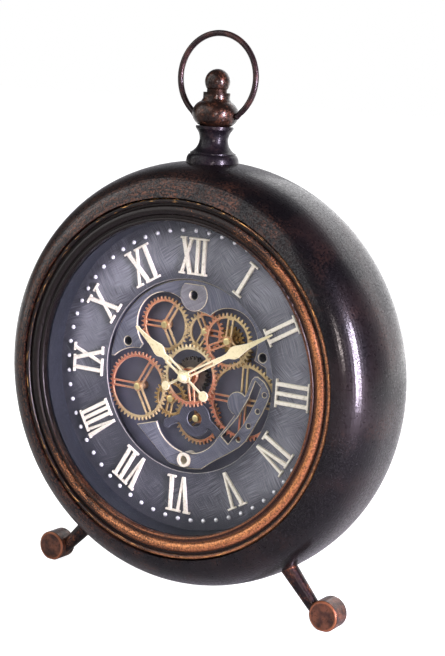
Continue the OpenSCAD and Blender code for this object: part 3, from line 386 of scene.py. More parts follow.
@dataclass(frozen=True)
class RubbedBezel(Finish):
    """The same lacquer on the turned bezel, with its beads rubbed back to copper, the grooves left dark
    and bright scratches along the outer edge. Towards the lower right it is painted brighter copper
    and towards the upper left darker: painted highlight and painted shade from where the light falls.

    The bands give the colour across the bezel, from a millimetre inside its lip to its edge.
    """

    lip: float = 106.8
    width: float = 16.0
    scratched: Flat = (11.5, 14.0)
    painted_light_side: float = -38.0
    flake: float = 0.9
    lacquer: str = "140e0d"
    grime: str = "2e1a12"
    scratch: str = "e0a860"
    relief: float = 0.14
    bands: tuple[tuple[float, str], ...] = (
        (0.0, "33211a"), (0.1, "8a5535"), (0.17, "120c0b"), (0.26, "553527"), (0.4, "ca8450"),
        (0.6, "a06442"), (0.69, "1c120f"), (0.745, "080606"), (0.8, "452c21"), (0.88, "b47850"),
        (0.95, "5e3c2b"), (1.0, "0e0a09"),
    )

    def paint(self, surface: Surface) -> None:
        """Lays the bands of the turned beads and rubs and scratches them.

        Args:
            surface: The surface in the making.
        """
        add, place, radius = surface.add, surface.place, surface.radius()
        beads = add("ValToRGB", [add("MapRange", [radius, self.lip - 1, self.lip + self.width])])
        stops = beads.color_ramp.elements
        while len(stops) < len(self.bands):
            stops.new(0.5)
        for stop, (at, colour) in zip(stops, self.bands):
            stop.position = at
            stop.color = linear(colour)
        fleck = add("TexNoise", {"Vector": place, "Scale": 1 / self.flake, "Detail": 3})
        cloud = add("TexNoise", {"Vector": place, "Scale": 1 / 24, "Detail": 3})
        # Painted light: the side term makes the copper brighter towards the lower right and the lacquer
        # darker towards the upper left
        rub_and_painted_light = add("Math", [surface.side(self.painted_light_side), 0.5], operation="MULTIPLY")
        for pattern, gain in ((surface.streaks(18, 1.0), 0.9), (cloud, 0.6), (fleck, 1.4)):
            rub_and_painted_light = add("Math", [pattern, gain, rub_and_painted_light], operation="MULTIPLY_ADD")
        rub_and_painted_light = add("MapRange", [rub_and_painted_light, 1.3, 1.94], **SMOOTH)
        dirt = add("TexNoise", {"Vector": place, "Scale": 1 / 1.3, "Detail": 2})
        dirt = add("MapRange", [dirt, 0.62, 0.36, 0, 0.6], **SMOOTH)
        copper = add("Mix", {0: dirt, 6: beads, 7: linear(self.grime)}, **COLOUR)
        colour = add("Mix", {0: rub_and_painted_light, 6: linear(self.lacquer), 7: copper}, **COLOUR)
        inner, outer = (self.lip + reach for reach in self.scratched)
        edge = add("MapRange", [radius, inner, outer], **SMOOTH)
        lines = add("MapRange", [surface.streaks(7, 0.5), 0.6, 0.68], **SMOOTH)
        lines = add("Math", [lines, edge], operation="MULTIPLY")
        surface.feed(
            surface.shader,
            {
                "Base Color": add("Mix", {0: lines, 6: colour, 7: linear(self.scratch)}, **COLOUR),
                "Roughness": add("MapRange", [fleck, 0.35, 0.65, 0.26, 0.46]),
                "Metallic": 0.6,
                "Specular IOR Level": 0.3,
                "Coat Weight": 0.2,
                "Coat Roughness": 0.22,
                "Normal": add("Bump", {"Height": fleck, "Strength": 1.0, "Distance": self.relief / 1000}),
            },
        )


@dataclass(frozen=True)
class BrushedSlate(Finish):
    """Sheet steel with a blackened blue-grey wash that is rubbed back by hand in strokes two ways,
    so that pale scratches and clouds show.

    Real scratches are hairlines, so they are drawn about a millimetre wide to show.
    """

    dark: str = "3c3f48"
    pale: str = "7b7f8a"
    grain: float = 1.2
    contrast: float = 0.5
    metal: float = 0.35
    patch: float = 30.0
    ways: Flat = (34.0, -52.0)
    stretch: float = 34.0
    drift: float = 18.0
    level: float = 0.96
    relief: float = 0.05

    def paint(self, surface: Surface) -> None:
        """Draws the strokes and the clouds.

        Args:
            surface: The surface in the making.
        """
        add, place = surface.add, surface.place
        bend = add("TexNoise", {"Vector": place, "Scale": 1 / 40, "Detail": 1}).outputs["Color"]
        bent = add("VectorMath", [bend, (self.drift, 0, self.drift), place], operation="MULTIPLY_ADD")
        drawn = []
        for way in self.ways:
            laid = {"Vector": bent, "Rotation": (0, math.radians(-way), 0), "Scale": (self.stretch, 1, 1)}
            laid = add("Mapping", laid, vector_type="TEXTURE")
            drawn.append(add("TexNoise", {"Vector": laid, "Scale": 1 / self.grain, "Detail": 3}))
        share = add("TexNoise", {"Vector": place, "Scale": 1 / 22, "Detail": 3})
        share = add("MapRange", [share, 0.4, 0.6], **SMOOTH)
        strokes = add("Mix", {0: share, 2: drawn[0], 3: drawn[1]})
        cloud = add("TexNoise", {"Vector": place, "Scale": 1 / self.patch, "Detail": 3})
        # On the dial this term carries painted highlights and painted shade as well as wear
        total = add("Math", [cloud, 0.4, self.wear_and_painted_light(surface)], operation="MULTIPLY_ADD")
        total = add("Math", [strokes, 1.2, total], operation="MULTIPLY_ADD")
        rub_and_painted_light = add("MapRange", [total, self.level - self.contrast, self.level + self.contrast], **SMOOTH)
        surface.feed(
            surface.shader,
            {
                "Base Color": add("Mix", {0: rub_and_painted_light, 6: linear(self.dark), 7: linear(self.pale)}, **COLOUR),
                "Metallic": self.metal,
                "Roughness": 0.42,
                "Normal": add("Bump", {"Height": strokes, "Strength": 1.0, "Distance": self.relief / 1000}),
            },
        )

    def wear_and_painted_light(self, surface: Surface) -> bpy.types.Node | float:
        """Tells where the slate is paler or darker than elsewhere, which is nowhere on a small piece.

        Args:
            surface: The surface in the making.

        Returns:
            More than 0 where it is paler, less than 0 where it is darker.
        """
        return 0.0


@dataclass(frozen=True)
class DialSlate(BrushedSlate):
    """The same wash on the dial, darker by the opening, and darker outside the studs as painted shade under
    the bezel's wall.

    Each patch has its place, its radius and how much paler it is in it: paler patches are painted highlights,
    darker ones, below 0, painted shade.
    """

    inner: float = 66.8
    outer: float = 100.0
    band_gain: float = 0.26
    ground: float = -0.12
    rub_and_painted_light: tuple[tuple[float, float, float, float], ...] = (
        (-58, 70, 26, 0.2),
        (-88, 30, 24, 0.1),
        (-10, 92, 40, 0.06),
        (60, 66, 36, 0.04),
        (-88, -22, 38, -0.16),
        (-50, -70, 76, -0.26),
        (14, -96, 60, -0.16),
        (70, -62, 34, 0.08),
    )

    def wear_and_painted_light(self, surface: Surface) -> bpy.types.Node | float:
        """Tells where the dial is paler or darker than elsewhere, with painted highlights and painted shade.

        Args:
            surface: The surface in the making.

        Returns:
            More than 0 where it is paler, less than 0 where it is darker.
        """
        add, radius = surface.add, surface.radius()
        # Darker by the opening, and painted shade outside the studs under the bezel's wall
        rise = add("MapRange", [radius, self.inner - 2, self.inner + 14, 0, self.band_gain], **SMOOTH)
        fall = add("MapRange", [radius, self.outer - 9, self.outer + 5, 1, 0], **SMOOTH)
        total = add("Math", [rise, fall, self.ground], operation="MULTIPLY_ADD")
        # Painted light: each patch paints a highlight where its gain is above 0 and shade where it is below
        for x, z, reach, gain in self.rub_and_painted_light:
            away = add("VectorMath", [surface.place, (x, 0, z)], operation="DISTANCE")
            near = add("MapRange", [away, 0, reach, gain, 0], **SMOOTH)
            total = add("Math", [total, near], operation="ADD")
        return total


@dataclass(frozen=True)
class WornPaint(Finish):
    """A pale paint or plating that has gone thin in places, so that a darker ground shows."""

    face: str
    ground: str
    wear: float
    metal: float
    roughness: float
    speck: float = 1.4
    relief: float = 0.03

    def paint(self, surface: Surface) -> None:
        """Lays the paint with its specks of ground.

        Args:
            surface: The surface in the making.
        """
        add = surface.add
        speck = add("TexNoise", {"Vector": surface.place, "Scale": 1 / self.speck, "Detail": 4})
        thin = add("MapRange", [speck, 0.52, 0.72, 0, self.wear], **SMOOTH)
        surface.feed(
            surface.shader,
            {
                "Base Color": add("Mix", {0: thin, 6: linear(self.face), 7: linear(self.ground)}, **COLOUR),
                "Metallic": self.metal,
                "Roughness": self.roughness,
                "Normal": add("Bump", {"Height": speck, "Strength": 1.0, "Distance": self.relief / 1000}),
            },
        )


@dataclass(frozen=True)
class AgedWheel(Finish):
    """A stamped wheel with copper plating over brass, worn from one side to the other, with a
    little dark patina between."""

    centre: Flat
    towards: float
    reach: float
    copper: str
    brass: str
    patina: str = "3d2a22"
    stained: float = 0.6

    def paint(self, surface: Surface) -> None:
        """Lays the plating, worn towards one side, and its stains.

        Args:
            surface: The surface in the making.
        """
        add, place = surface.add, surface.place
        turn = math.radians(self.towards)
        moved = add("VectorMath", [place, (self.centre[0], 0, self.centre[1])], operation="SUBTRACT")
        along = add("VectorMath", [moved, (math.cos(turn), 0, math.sin(turn))], operation="DOT_PRODUCT")
        wobble = add("TexNoise", {"Vector": place, "Scale": 1 / 7, "Detail": 2})
        wobble = add("Math", [wobble, self.reach, -self.reach / 2], operation="MULTIPLY_ADD")
        along = add("Math", [along, wobble], operation="ADD")
        plated = add("MapRange", [along, -self.reach * 0.6, self.reach * 0.6], **SMOOTH)
        colour = add("Mix", {0: plated, 6: linear(self.copper), 7: linear(self.brass)}, **COLOUR)
        stain = add("TexNoise", {"Vector": place, "Scale": 1 / 2.6, "Detail": 4})
        stain = add("MapRange", [stain, 0.54, 0.78, 0, self.stained], **SMOOTH)
        colour = add("Mix", {0: stain, 6: colour, 7: linear(self.patina)}, **COLOUR)
        surface.feed(surface.shader, {"Base Color": colour, "Metallic": 0.7, "Roughness": 0.38})


@dataclass(frozen=True)
class PlainMetal(Finish):
    """A turned or plated metal with a fine grain, a little darker in patches."""

    colour: str
    roughness: float
    metal: float = 1.0
    grain: float = 0.6
    patch: float = 3.5
    deepest: float = 0.72
    relief: float = 0.01

    def paint(self, surface: Surface) -> None:
        """Lays the metal.

        Args:
            surface: The surface in the making.
        """
        add, place = surface.add, surface.place
        grain = add("TexNoise", {"Vector": place, "Scale": 1 / self.grain, "Detail": 2})
        tone = add("TexNoise", {"Vector": place, "Scale": 1 / self.patch, "Detail": 2})
        tone = add("MapRange", [tone, 0.3, 0.8], **SMOOTH)
        base = linear(self.colour)
        deep = (*(part * self.deepest for part in base[:3]), 1.0)
        surface.feed(
            surface.shader,
            {
                "Base Color": add("Mix", {0: tone, 6: base, 7: deep}, **COLOUR),
                "Metallic": self.metal,
                "Roughness": self.roughness,
                "Normal": add("Bump", {"Height": grain, "Strength": 1.0, "Distance": self.relief / 1000}),
            },
        )


@dataclass(frozen=True)
class MouldedPlastic(Finish):
    """Injection-moulded plastic with a spark-eroded texture, which keeps it dull."""

    colour: str = "1c1c1f"
    roughness: float = 0.55
    grit: float = 0.45
    patch: float = 14.0
    palest: float = 1.5
    relief: float = 0.03

    def paint(self, surface: Surface) -> None:
        """Lays the plastic.

        Args:
            surface: The surface in the making.
        """
        add, place = surface.add, surface.place
        grit = add("TexNoise", {"Vector": place, "Scale": 1 / self.grit, "Detail": 2})
        tone = add("TexNoise", {"Vector": place, "Scale": 1 / self.patch, "Detail": 2})
        tone = add("MapRange", [tone, 0.2, 0.9], **SMOOTH)
        base = linear(self.colour)
        pale = (*(min(1.0, part * self.palest) for part in base[:3]), 1.0)
        surface.feed(
            surface.shader,
            {
                "Base Color": add("Mix", {0: tone, 6: base, 7: pale}, **COLOUR),
                "Roughness": self.roughness,
                "Normal": add("Bump", {"Height": grit, "Strength": 1.0, "Distance": self.relief / 1000}),
            },
        )


@dataclass(frozen=True)
class ClearGlass(Finish):
    """Float glass, 2 mm thick: almost only its gloss shows."""

    def paint(self, surface: Surface) -> None:
        """Leaves the gloss and a breath of grey."""
        glass = {"Base Color": linear("2a3032"), "Roughness": 0.02, "Alpha": 0.035}
        surface.feed(surface.shader, glass)


def outline_of(node: bpy.types.Object, front: float) -> list[Loop]:
    """Reads the outline of the flat face that a solid turns to the front at one depth.

    Args:
        node: The solid.
        front: The face's depth in millimetres in the dial's frame.

    Returns:
        Closed loops in metres, as x and z.
    """
    depth = metres(0, front, 0).y
    mesh = node.data
    edges: dict[tuple, list] = {}
    for face in mesh.polygons:
        if face.normal.y > -0.99:
            continue
        corners = [mesh.vertices[i].co for i in face.vertices]
        if any(abs(c.y - depth) > 2e-5 for c in corners):
            continue
        keys = [(round(c.x, 7), round(c.z, 7)) for c in corners]
        for a, b in zip(keys, keys[1:] + keys[:1]):
            if (b, a) in edges:
                del edges[(b, a)]
            elif a != b:
                edges[(a, b)] = [a, b]
    follow: dict[tuple, list] = {}
    for a, b in edges:
        follow.setdefault(a, []).append(b)
    loops: list[Loop] = []
    while follow:
        start = next(iter(follow))
        loop = [start]
        here = follow[start].pop()
        if not follow[start]:
            del follow[start]
        while here != start and here in follow:
            loop.append(here)
            onward = follow[here].pop()
            if not follow[here]:
                del follow[here]
            here = onward
        if len(loop) > 2:
            loops.append(loop)
    return loops


def stamped(
    name: str, loops: list[Loop], front: float, back: float, bevel: float, slack: float = 0.0
) -> bpy.types.Object:
    """Cuts a sheet piece with bevelled edges to an outline.

    Args:
        name: The new object's name.
        loops: Closed loops in metres, holes among them.
        front: Depth of the front face in millimetres.
        back: Depth of the back face in millimetres.
        bevel: Width of the bevel in millimetres.
        slack: How far inside the outline the sheet stays, in millimetres.

    Returns:
        The sheet, with slot 0 on its faces and slot 1 on its bevels.
    """
    curve = bpy.data.curves.new(name, "CURVE")
    curve.dimensions = "2D"
    curve.fill_mode = "BOTH"
    for loop in loops:
        spline = curve.splines.new("POLY")
        spline.points.add(len(loop) - 1)
        for point, (x, z) in zip(spline.points, loop):
            point.co = (x, z, 0, 1)
        spline.use_cyclic_u = True
    curve.extrude = (back - front) / 2000
    curve.offset = -slack / 1000
    drawn = bpy.data.objects.new(name, curve)
    bpy.context.scene.collection.objects.link(drawn)
    bpy.context.view_layer.update()
    mesh = bpy.data.meshes.new_from_object(drawn.evaluated_get(bpy.context.evaluated_depsgraph_get()))
    bpy.data.objects.remove(drawn)
    middle = metres(0, (front + back) / 2, 0).y
    mesh.transform(Matrix.Translation((0, middle, 0)) @ Matrix.Rotation(math.radians(90), 4, "X"))
    build = bmesh.new()
    build.from_mesh(mesh)
    bmesh.ops.remove_doubles(build, verts=build.verts, dist=2e-6)
    bmesh.ops.recalc_face_normals(build, faces=build.faces)
    chamfer(build, bevel)
    build.to_mesh(mesh)
    build.free()
    return add_object(name, mesh)


def chamfer(build: bmesh.types.BMesh, width: float) -> None:
    """Chamfers the rim of a sheet's front and puts slot 1 on the chamfer.

    Args:
        build: The sheet, whose front looks along -Y.
        width: The chamfer's width in millimetres.
    """
    build.normal_update()
    front = [face for face in build.faces if face.normal.y < -0.9]
    ring = bmesh.ops.inset_region(
        build, faces=front, thickness=width / 1000, use_boundary=True, use_even_offset=True
    )["faces"]
    kept = {vert for face in front for vert in face.verts}
    for vert in {vert for face in ring for vert in face.verts} - kept:
        vert.co.y += width / 1000
    for face in build.faces:
        face.smooth = False
        face.material_index = 0
    for face in ring:
        face.material_index = 1


def add_object(name: str, mesh: bpy.types.Mesh) -> bpy.types.Object:
    """Links a mesh into the scene as an object at the origin.

    Args:
        name: The object's name.
        mesh: The mesh, with its place in its vertices.

    Returns:
        The object.
    """
    mesh.name = name
    made = bpy.data.objects.new(name, mesh)
    bpy.context.scene.collection.objects.link(made)
    return made


def turned(name: str, profile: Loop, centre: Flat, around: int) -> bpy.types.Object:
    """Turns a profile about an axis that runs front to back.

    Args:
        name: The new object's name.
        profile: Radius and depth in millimetres, from the axis round to the axis again.
        centre: The axis' place, as x and z in millimetres.
        around: How many steps the turn has.

    Returns:
        The closed, smooth-shaded piece.
    """
    build = bmesh.new()
    rings = []
    for radius, depth in profile:
        if radius < 1e-6:
            rings.append([build.verts.new(metres(centre[0], depth, centre[1]))])
            continue
        ring = []
        for step in range(around):
            turn = 2 * math.pi * step / around
            spot = metres(centre[0] + radius * math.cos(turn), depth, centre[1] + radius * math.sin(turn))
            ring.append(build.verts.new(spot))
        rings.append(ring)
    for first, second in zip(rings, rings[1:]):
        for step in range(around):
            after = (step + 1) % around
            corners = [
                first[step % len(first)],
                first[after % len(first)],
                second[after % len(second)],
                second[step % len(second)],
            ]
            unique = list(dict.fromkeys(corners))
            if len(unique) > 2:
                build.faces.new(unique)
    bmesh.ops.recalc_face_normals(build, faces=build.faces)
    mesh = bpy.data.meshes.new(name)
    build.to_mesh(mesh)
    build.free()
    mesh.shade_smooth()
    return add_object(name, mesh)


def joined(name: str, parts: list[bpy.types.Object]) -> bpy.types.Object:
    """Makes one object of several, keeping each part's slots.

    Args:
        name: The new object's name.
        parts: The objects, which are used up.

    Returns:
        The one object.
    """
    slots: list[bpy.types.Material] = []
    build = bmesh.new()
    for part in parts:
        offset = {}
        for i, material in enumerate(part.data.materials):
            if material not in slots:
                slots.append(material)
            offset[i] = slots.index(material)
        for face in part.data.polygons:
            face.material_index = offset.get(face.material_index, 0)
        build.from_mesh(part.data)
        bpy.data.objects.remove(part)
    mesh = bpy.data.meshes.new(name)
    build.to_mesh(mesh)
    build.free()
    for material in slots:
        mesh.materials.append(material)
    return add_object(name, mesh)


def dress(piece: bpy.types.Object, *materials: bpy.types.Material) -> None:
    """Gives a piece its materials in place of any that it had.

    Args:
        piece: The piece.
        *materials: One material for each slot.
    """
    chosen = [face.material_index for face in piece.data.polygons]
    piece.data.materials.clear()
    for material in materials:
        piece.data.materials.append(material)
    if len(materials) > 1:
        piece.data.polygons.foreach_set("material_index", chosen)


@dataclass
class RingPattern:
    """Geometry Nodes that set copies of one piece round the dial's axis."""

    name: str
    template: bpy.types.Object
    material: bpy.types.Material
    radius: float
    count: int
    depth: float = 0.0

    def tree(self) -> bpy.types.NodeTree:
        """Builds the node group.

        Returns:
            The group, with inputs for radius, count, depth, piece and finish.
        """
        group = bpy.data.node_groups.new(self.name + "_ring", "GeometryNodeTree")
        sizes = {"Radius": "Float", "Count": "Int", "Depth": "Float"}
        for label, kind in {**sizes, "Piece": "Object", "Finish": "Material"}.items():
            group.interface.new_socket(label, in_out="INPUT", socket_type="NodeSocket" + kind)
        group.interface.new_socket("Geometry", in_out="OUTPUT", socket_type="NodeSocketGeometry")
        add = Nodes(group).add
        given = add("NodeGroupInput").outputs
        points = add("GeometryNodePoints", {"Count": given["Count"]})
        share = add("Math", [add("GeometryNodeInputIndex"), given["Count"]], operation="DIVIDE")
        turn = add("Math", [share, 2 * math.pi], operation="MULTIPLY")
        sine = add("Math", [turn], operation="SINE")
        cosine = add("Math", [turn], operation="COSINE")
        across = add("Math", [sine, given["Radius"]], operation="MULTIPLY")
        height = add("Math", [cosine, given["Radius"], AXIS_Z / 1000], operation="MULTIPLY_ADD")
        spot = add("CombineXYZ", {"X": across, "Y": given["Depth"], "Z": height})
        placed = add("GeometryNodeSetPosition", {"Geometry": points, "Position": spot})
        piece = add("GeometryNodeObjectInfo", {"Object": given["Piece"]}).outputs["Geometry"]
        spin = add("CombineXYZ", {"Y": turn})
        copies = add("GeometryNodeInstanceOnPoints", {"Points": placed, "Instance": piece, "Rotation": spin})
        real = add("GeometryNodeRealizeInstances", [copies])
        finished = add("GeometryNodeSetMaterial", {"Geometry": real, "Material": given["Finish"]})
        add("NodeGroupOutput", [finished])
        return group

    def build(self) -> bpy.types.Object:
        """Makes the ring and turns it into a plain mesh.

        Returns:
            The finished object.
        """
        holder = add_object(self.name + "_holder", bpy.data.meshes.new(self.name + "_holder"))
        modifier = holder.modifiers.new("ring", "NODES")
        group = self.tree()
        modifier.node_group = group
        values = {
            "Radius": self.radius / 1000,
            "Count": self.count,
            "Depth": metres(0, self.depth, 0).y,
            "Piece": self.template,
            "Finish": self.material,
        }
        for item in group.interface.items_tree:
            if item.in_out == "INPUT":
                modifier[item.identifier] = values[item.name]
        bpy.context.view_layer.update()
        depsgraph = bpy.context.evaluated_depsgraph_get()
        mesh = bpy.data.meshes.new_from_object(holder.evaluated_get(depsgraph))
        holder.modifiers.remove(modifier)
        bpy.data.objects.remove(holder)
        bpy.data.objects.remove(self.template)
        return add_object(self.name, mesh)


@dataclass
class Clock:
    """What every sub-assembly shares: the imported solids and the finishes."""

    nodes: dict[str, bpy.types.Object]
    finishes: dict[str, bpy.types.Material]

    def keep(self, names: str, finish: str) -> None:
        """Gives solids that stay as they are their finish and logs them.

        Args:
            names: The nodes' names, with spaces between.
            finish: The finish's name.
        """
        for name in names.split():
            dress(self.nodes[name], self.finishes[finish])
            LOG.info("%s wears %s", name, finish)

    def settle(self, piece: bpy.types.Object, body: str, slot: str, *stands_for: str) -> None:
        """Makes a new piece ride on its body and logs it.

        Args:
            piece: The new piece.
            body: The body that it moves with.
            slot: The record's material slot; not used.
            *stands_for: The solids that it replaces.
        """
        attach(piece, body)
        if stands_for:
            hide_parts(*stands_for)
        LOG.info("%s rides on %s: %d faces", piece.name, body, len(piece.data.polygons))


@dataclass
class Case(Clock):
    """The drum with its bezel, lens and rear cover, the legs with their feet, and the finial."""

    def build(self) -> None:
        """Dresses the outside."""
        for names, finish in (
            ("case_shell", "case bronze lacquer"),
            ("rear_cover", "cover bronze lacquer"),
            ("finial_bead finial_ball", "finial bronze lacquer"),
            ("finial_base", "neck bronze lacquer"),
            ("bail_ring", "bail bronze lacquer"),
            ("left_leg right_leg rear_leg rear_foot", "leg bronze lacquer"),
            ("left_foot", "left foot bronze lacquer"),
            ("right_foot", "right foot bronze lacquer"),
            ("bezel", "bezel rubbed copper"),
            ("lens_glass", "float glass"),
            ("rehaut_ring", "wall ring blackened steel"),
            ("finial_rod finial_nut leg_nuts", "zinc plated steel"),
            ("bezel_screws module_screws rear_cover_screws", "zinc plated steel"),
        ):
            self.keep(names, finish)


@dataclass
class Dial(Clock):
    """The dial sheet with its raised numerals and studs, and the hands in front of it."""

    dial_sheet: float = 1.2
    dial_bevel: float = 0.35
    numeral_front: float = -1.8
    numeral_bevel: float = 0.3
    stud_ring: float = 100.0
    stud_radius: float = 1.6
    stud_rise: float = 1.52
    stud_steps: int = 5
    stud_sides: int = 16
    studs_n: int = 60
    hand_bevel: float = 0.25
    hour_front: float = -3.4
    minute_front: float = -6.0
    hand_sheet: float = 0.8

    def build(self) -> None:
        """Builds and dresses the dial."""
        self.sheet()
        self.numerals()
        self.studs()
        self.hands()
        self.keep("hand_cap", "hand gold plate")
        self.keep("hour_pipe minute_arbor", "post polished brass")

    def sheet(self) -> None:
        """Cuts the dial with the chamfered edge of its opening, pale with wear and a painted highlight."""
        loops = outline_of(self.nodes["dial"], 0.0)
        piece = stamped("dial_sheet", loops, 0.0, self.dial_sheet, self.dial_bevel)
        dress(piece, self.finishes["dial blackened steel"], self.finishes["dial edge worn steel"])
        self.settle(piece, "case", "dial_metal", "dial")

    def numerals(self) -> None:
        """Cuts the numerals with softened edges."""
        loops = outline_of(self.nodes["numerals"], self.numeral_front)
        piece = stamped("raised_numerals", loops, self.numeral_front, 0.0, self.numeral_bevel)
        dress(piece, self.finishes["numeral ivory enamel"], self.finishes["numeral edge enamel"])
        self.settle(piece, "case", "numeral_ivory", "numerals")

    def studs(self) -> None:
        """Sets a domed stud at each minute."""
        profile = [(0.0, -self.stud_rise)]
        for i in range(1, self.stud_steps + 1):
            turn = math.radians(90 * i / self.stud_steps)
            profile.append((self.stud_radius * math.sin(turn), -self.stud_rise * math.cos(turn)))
        profile.append((0.0, 0.0))
        template = turned("stud_template", profile, (0, 0), self.stud_sides)
        template.data.transform(Matrix.Translation(-metres(0, 0, 0)))
        silver = self.finishes["stud polished aluminium"]
        ring = RingPattern("minute_domes", template, silver, self.stud_ring, self.studs_n)
        self.settle(ring.build(), "case", "stud_silver", "minute_studs")

    def hands(self) -> None:
        """Cuts the hands with softened edges."""
        for name, body, front in (
            ("hour_hand", "hour", self.hour_front),
            ("minute_hand", "minute", self.minute_front),
        ):
            loops = outline_of(self.nodes[name], front)
            piece = stamped(name + "_blade", loops, front, front + self.hand_sheet, self.hand_bevel)
            dress(piece, self.finishes["hand gold plate"], self.finishes["hand edge gold plate"])
            self.settle(piece, body, "hand_gold", name)


@dataclass
class GearDisplay(Clock):
    """The plates and wheels that show through the dial's opening."""

    layer_front: float = 3.6
    layer_step: float = 3.0
    wheel_sheet: float = 1.4
    plate_front: float = 3.0
    plate_sheet: float = 1.5
    tab_sheet: float = 1.0
    bridge_sheet: float = 0.8
    bridge_gap: float = 0.4
    wheel_bevel: float = 0.15
    tooth_slack: float = 0.03
    plate_bevel: float = 0.48
    bevel_share: float = 0.42
    post_bore: float = 1.55
    boss_bore: float = 4.05
    hub_wall: float = 1.6
    hub_nose: float = 0.5
    hub_round: float = 0.25
    hub_sides: int = 40
    brass_wheels: tuple[str, ...] = ("centre_wheel", "upper_right_wheel", "lower_left_wheel")
    layers: dict[str, tuple[str, int]] = field(
        default_factory=lambda: {
            "centre_wheel": ("centre_gear", 0),
            "upper_right_wheel": ("upper_right_gear", 0),
            "left_wheel": ("left_gear", 0),
            "upper_middle_wheel": ("upper_middle_gear", 1),
            "upper_left_wheel": ("upper_left_gear", 1),
            "right_wheel": ("right_gear", 1),
            "lower_left_wheel": ("lower_left_gear", 1),
            "bottom_wheel": ("bottom_gear", 2),
        }
    )

    def build(self) -> None:
        """Builds and dresses the display."""
        self.plates()
        self.wheels()
        for names, finish in (
            ("opening_wall", "wall navy moulded ABS"),
            ("base_plate", "base navy moulded ABS"),
            ("module_spacers gear_posts", "post polished brass"),
            ("bridge_boss", "boss ivory enamel"),
            ("plate_pillars", "pillar blackened steel"),
            ("centre_pinion", "pinion steel"),
            ("upper_right_pinion motor_pinion", "pinion aged brass"),
            ("stem_nut", "nut copper plate"),
        ):
            self.keep(names, finish)

    def plates(self) -> None:
        """Cuts the plates with their pale edges, worn and with a painted highlight."""
        front, back = self.plate_front, self.plate_front + self.plate_sheet
        rear = self.layer_front + self.layer_step - self.bridge_gap
        grey = ("plate blackened steel", "plate edge worn steel")
        dark = ("bridge blackened steel", "bridge edge worn steel")
        for name, near, far, finish, edge, slot in (
            ("upper_plate", front, back, *grey, "plate_slate"),
            ("lower_bridge", front, back, *grey, "plate_slate"),
            ("top_tab", front - self.tab_sheet, front, "tab blackened steel", grey[1], "plate_slate"),
            ("centre_bridge", rear - self.bridge_sheet, rear, *dark, "bridge_dark"),
        ):
            bevel = min(self.plate_bevel, (far - near) * self.bevel_share)
            piece = stamped(name + "_sheet", outline_of(self.nodes[name], near), near, far, bevel)
            dress(piece, self.finishes[finish], self.finishes[edge])
            self.settle(piece, "case", slot, name)

    def wheels(self) -> None:
        """Cuts the toothed wheels and turns their hubs."""
        for name, (body, layer) in self.layers.items():
            front = self.layer_front + layer * self.layer_step
            back = front + self.wheel_sheet
            loops = outline_of(self.nodes[name], front)
            sheet = stamped(name + "_sheet", loops, front, back, self.wheel_bevel, self.tooth_slack)
            # The pale chamfer is wear with a painted highlight along the teeth
            dress(sheet, self.finishes[name + PLATED], self.finishes["wheel edge worn brass"])
            piece = joined(name + "_cut", [sheet, self.hub(name, front)])
            slot = "wheel_brass" if name in self.brass_wheels else "wheel_copper"
            self.settle(piece, body, slot, name)

    def hub(self, name: str, front: float) -> bpy.types.Object:
        """Turns the hub of a wheel round its bore, in the wheel's finish.

        Args:
            name: The wheel's node.
            front: Depth of the wheel's front face.

        Returns:
            The hub.
        """
        low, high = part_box(name)
        x = (low[0] + high[0]) * 500
        z = (low[2] + high[2]) * 500 - AXIS_Z
        back = high[1] * 1000 - DIAL_Y
        bore = self.boss_bore if name == "centre_wheel" else self.post_bore
        outer = bore + self.hub_wall
        nose = front - self.hub_nose
        shoulder = [(outer - self.hub_round, nose), (outer, nose + self.hub_round)]
        profile = [(bore, nose), *shoulder, (outer, back), (bore, back), (bore, nose)]
        made = turned(name + "_hub", profile, (x, z), self.hub_sides)
        made.data.shade_flat()
        dress(made, self.finishes[name + PLATED])
        return made


@dataclass
class Drive(Clock):
    """The movement, the motor and the cells behind the display."""

    def build(self) -> None:
        """Dresses the drive."""
        self.keep("movement_case gear_battery_box switch_body", "black moulded ABS")
        self.keep("setting_knob switch_slider", "black moulded ABS")
        self.keep("gear_motor", "zinc plated steel")
        self.keep("gear_batteries clock_battery", "cell vinyl sleeve")


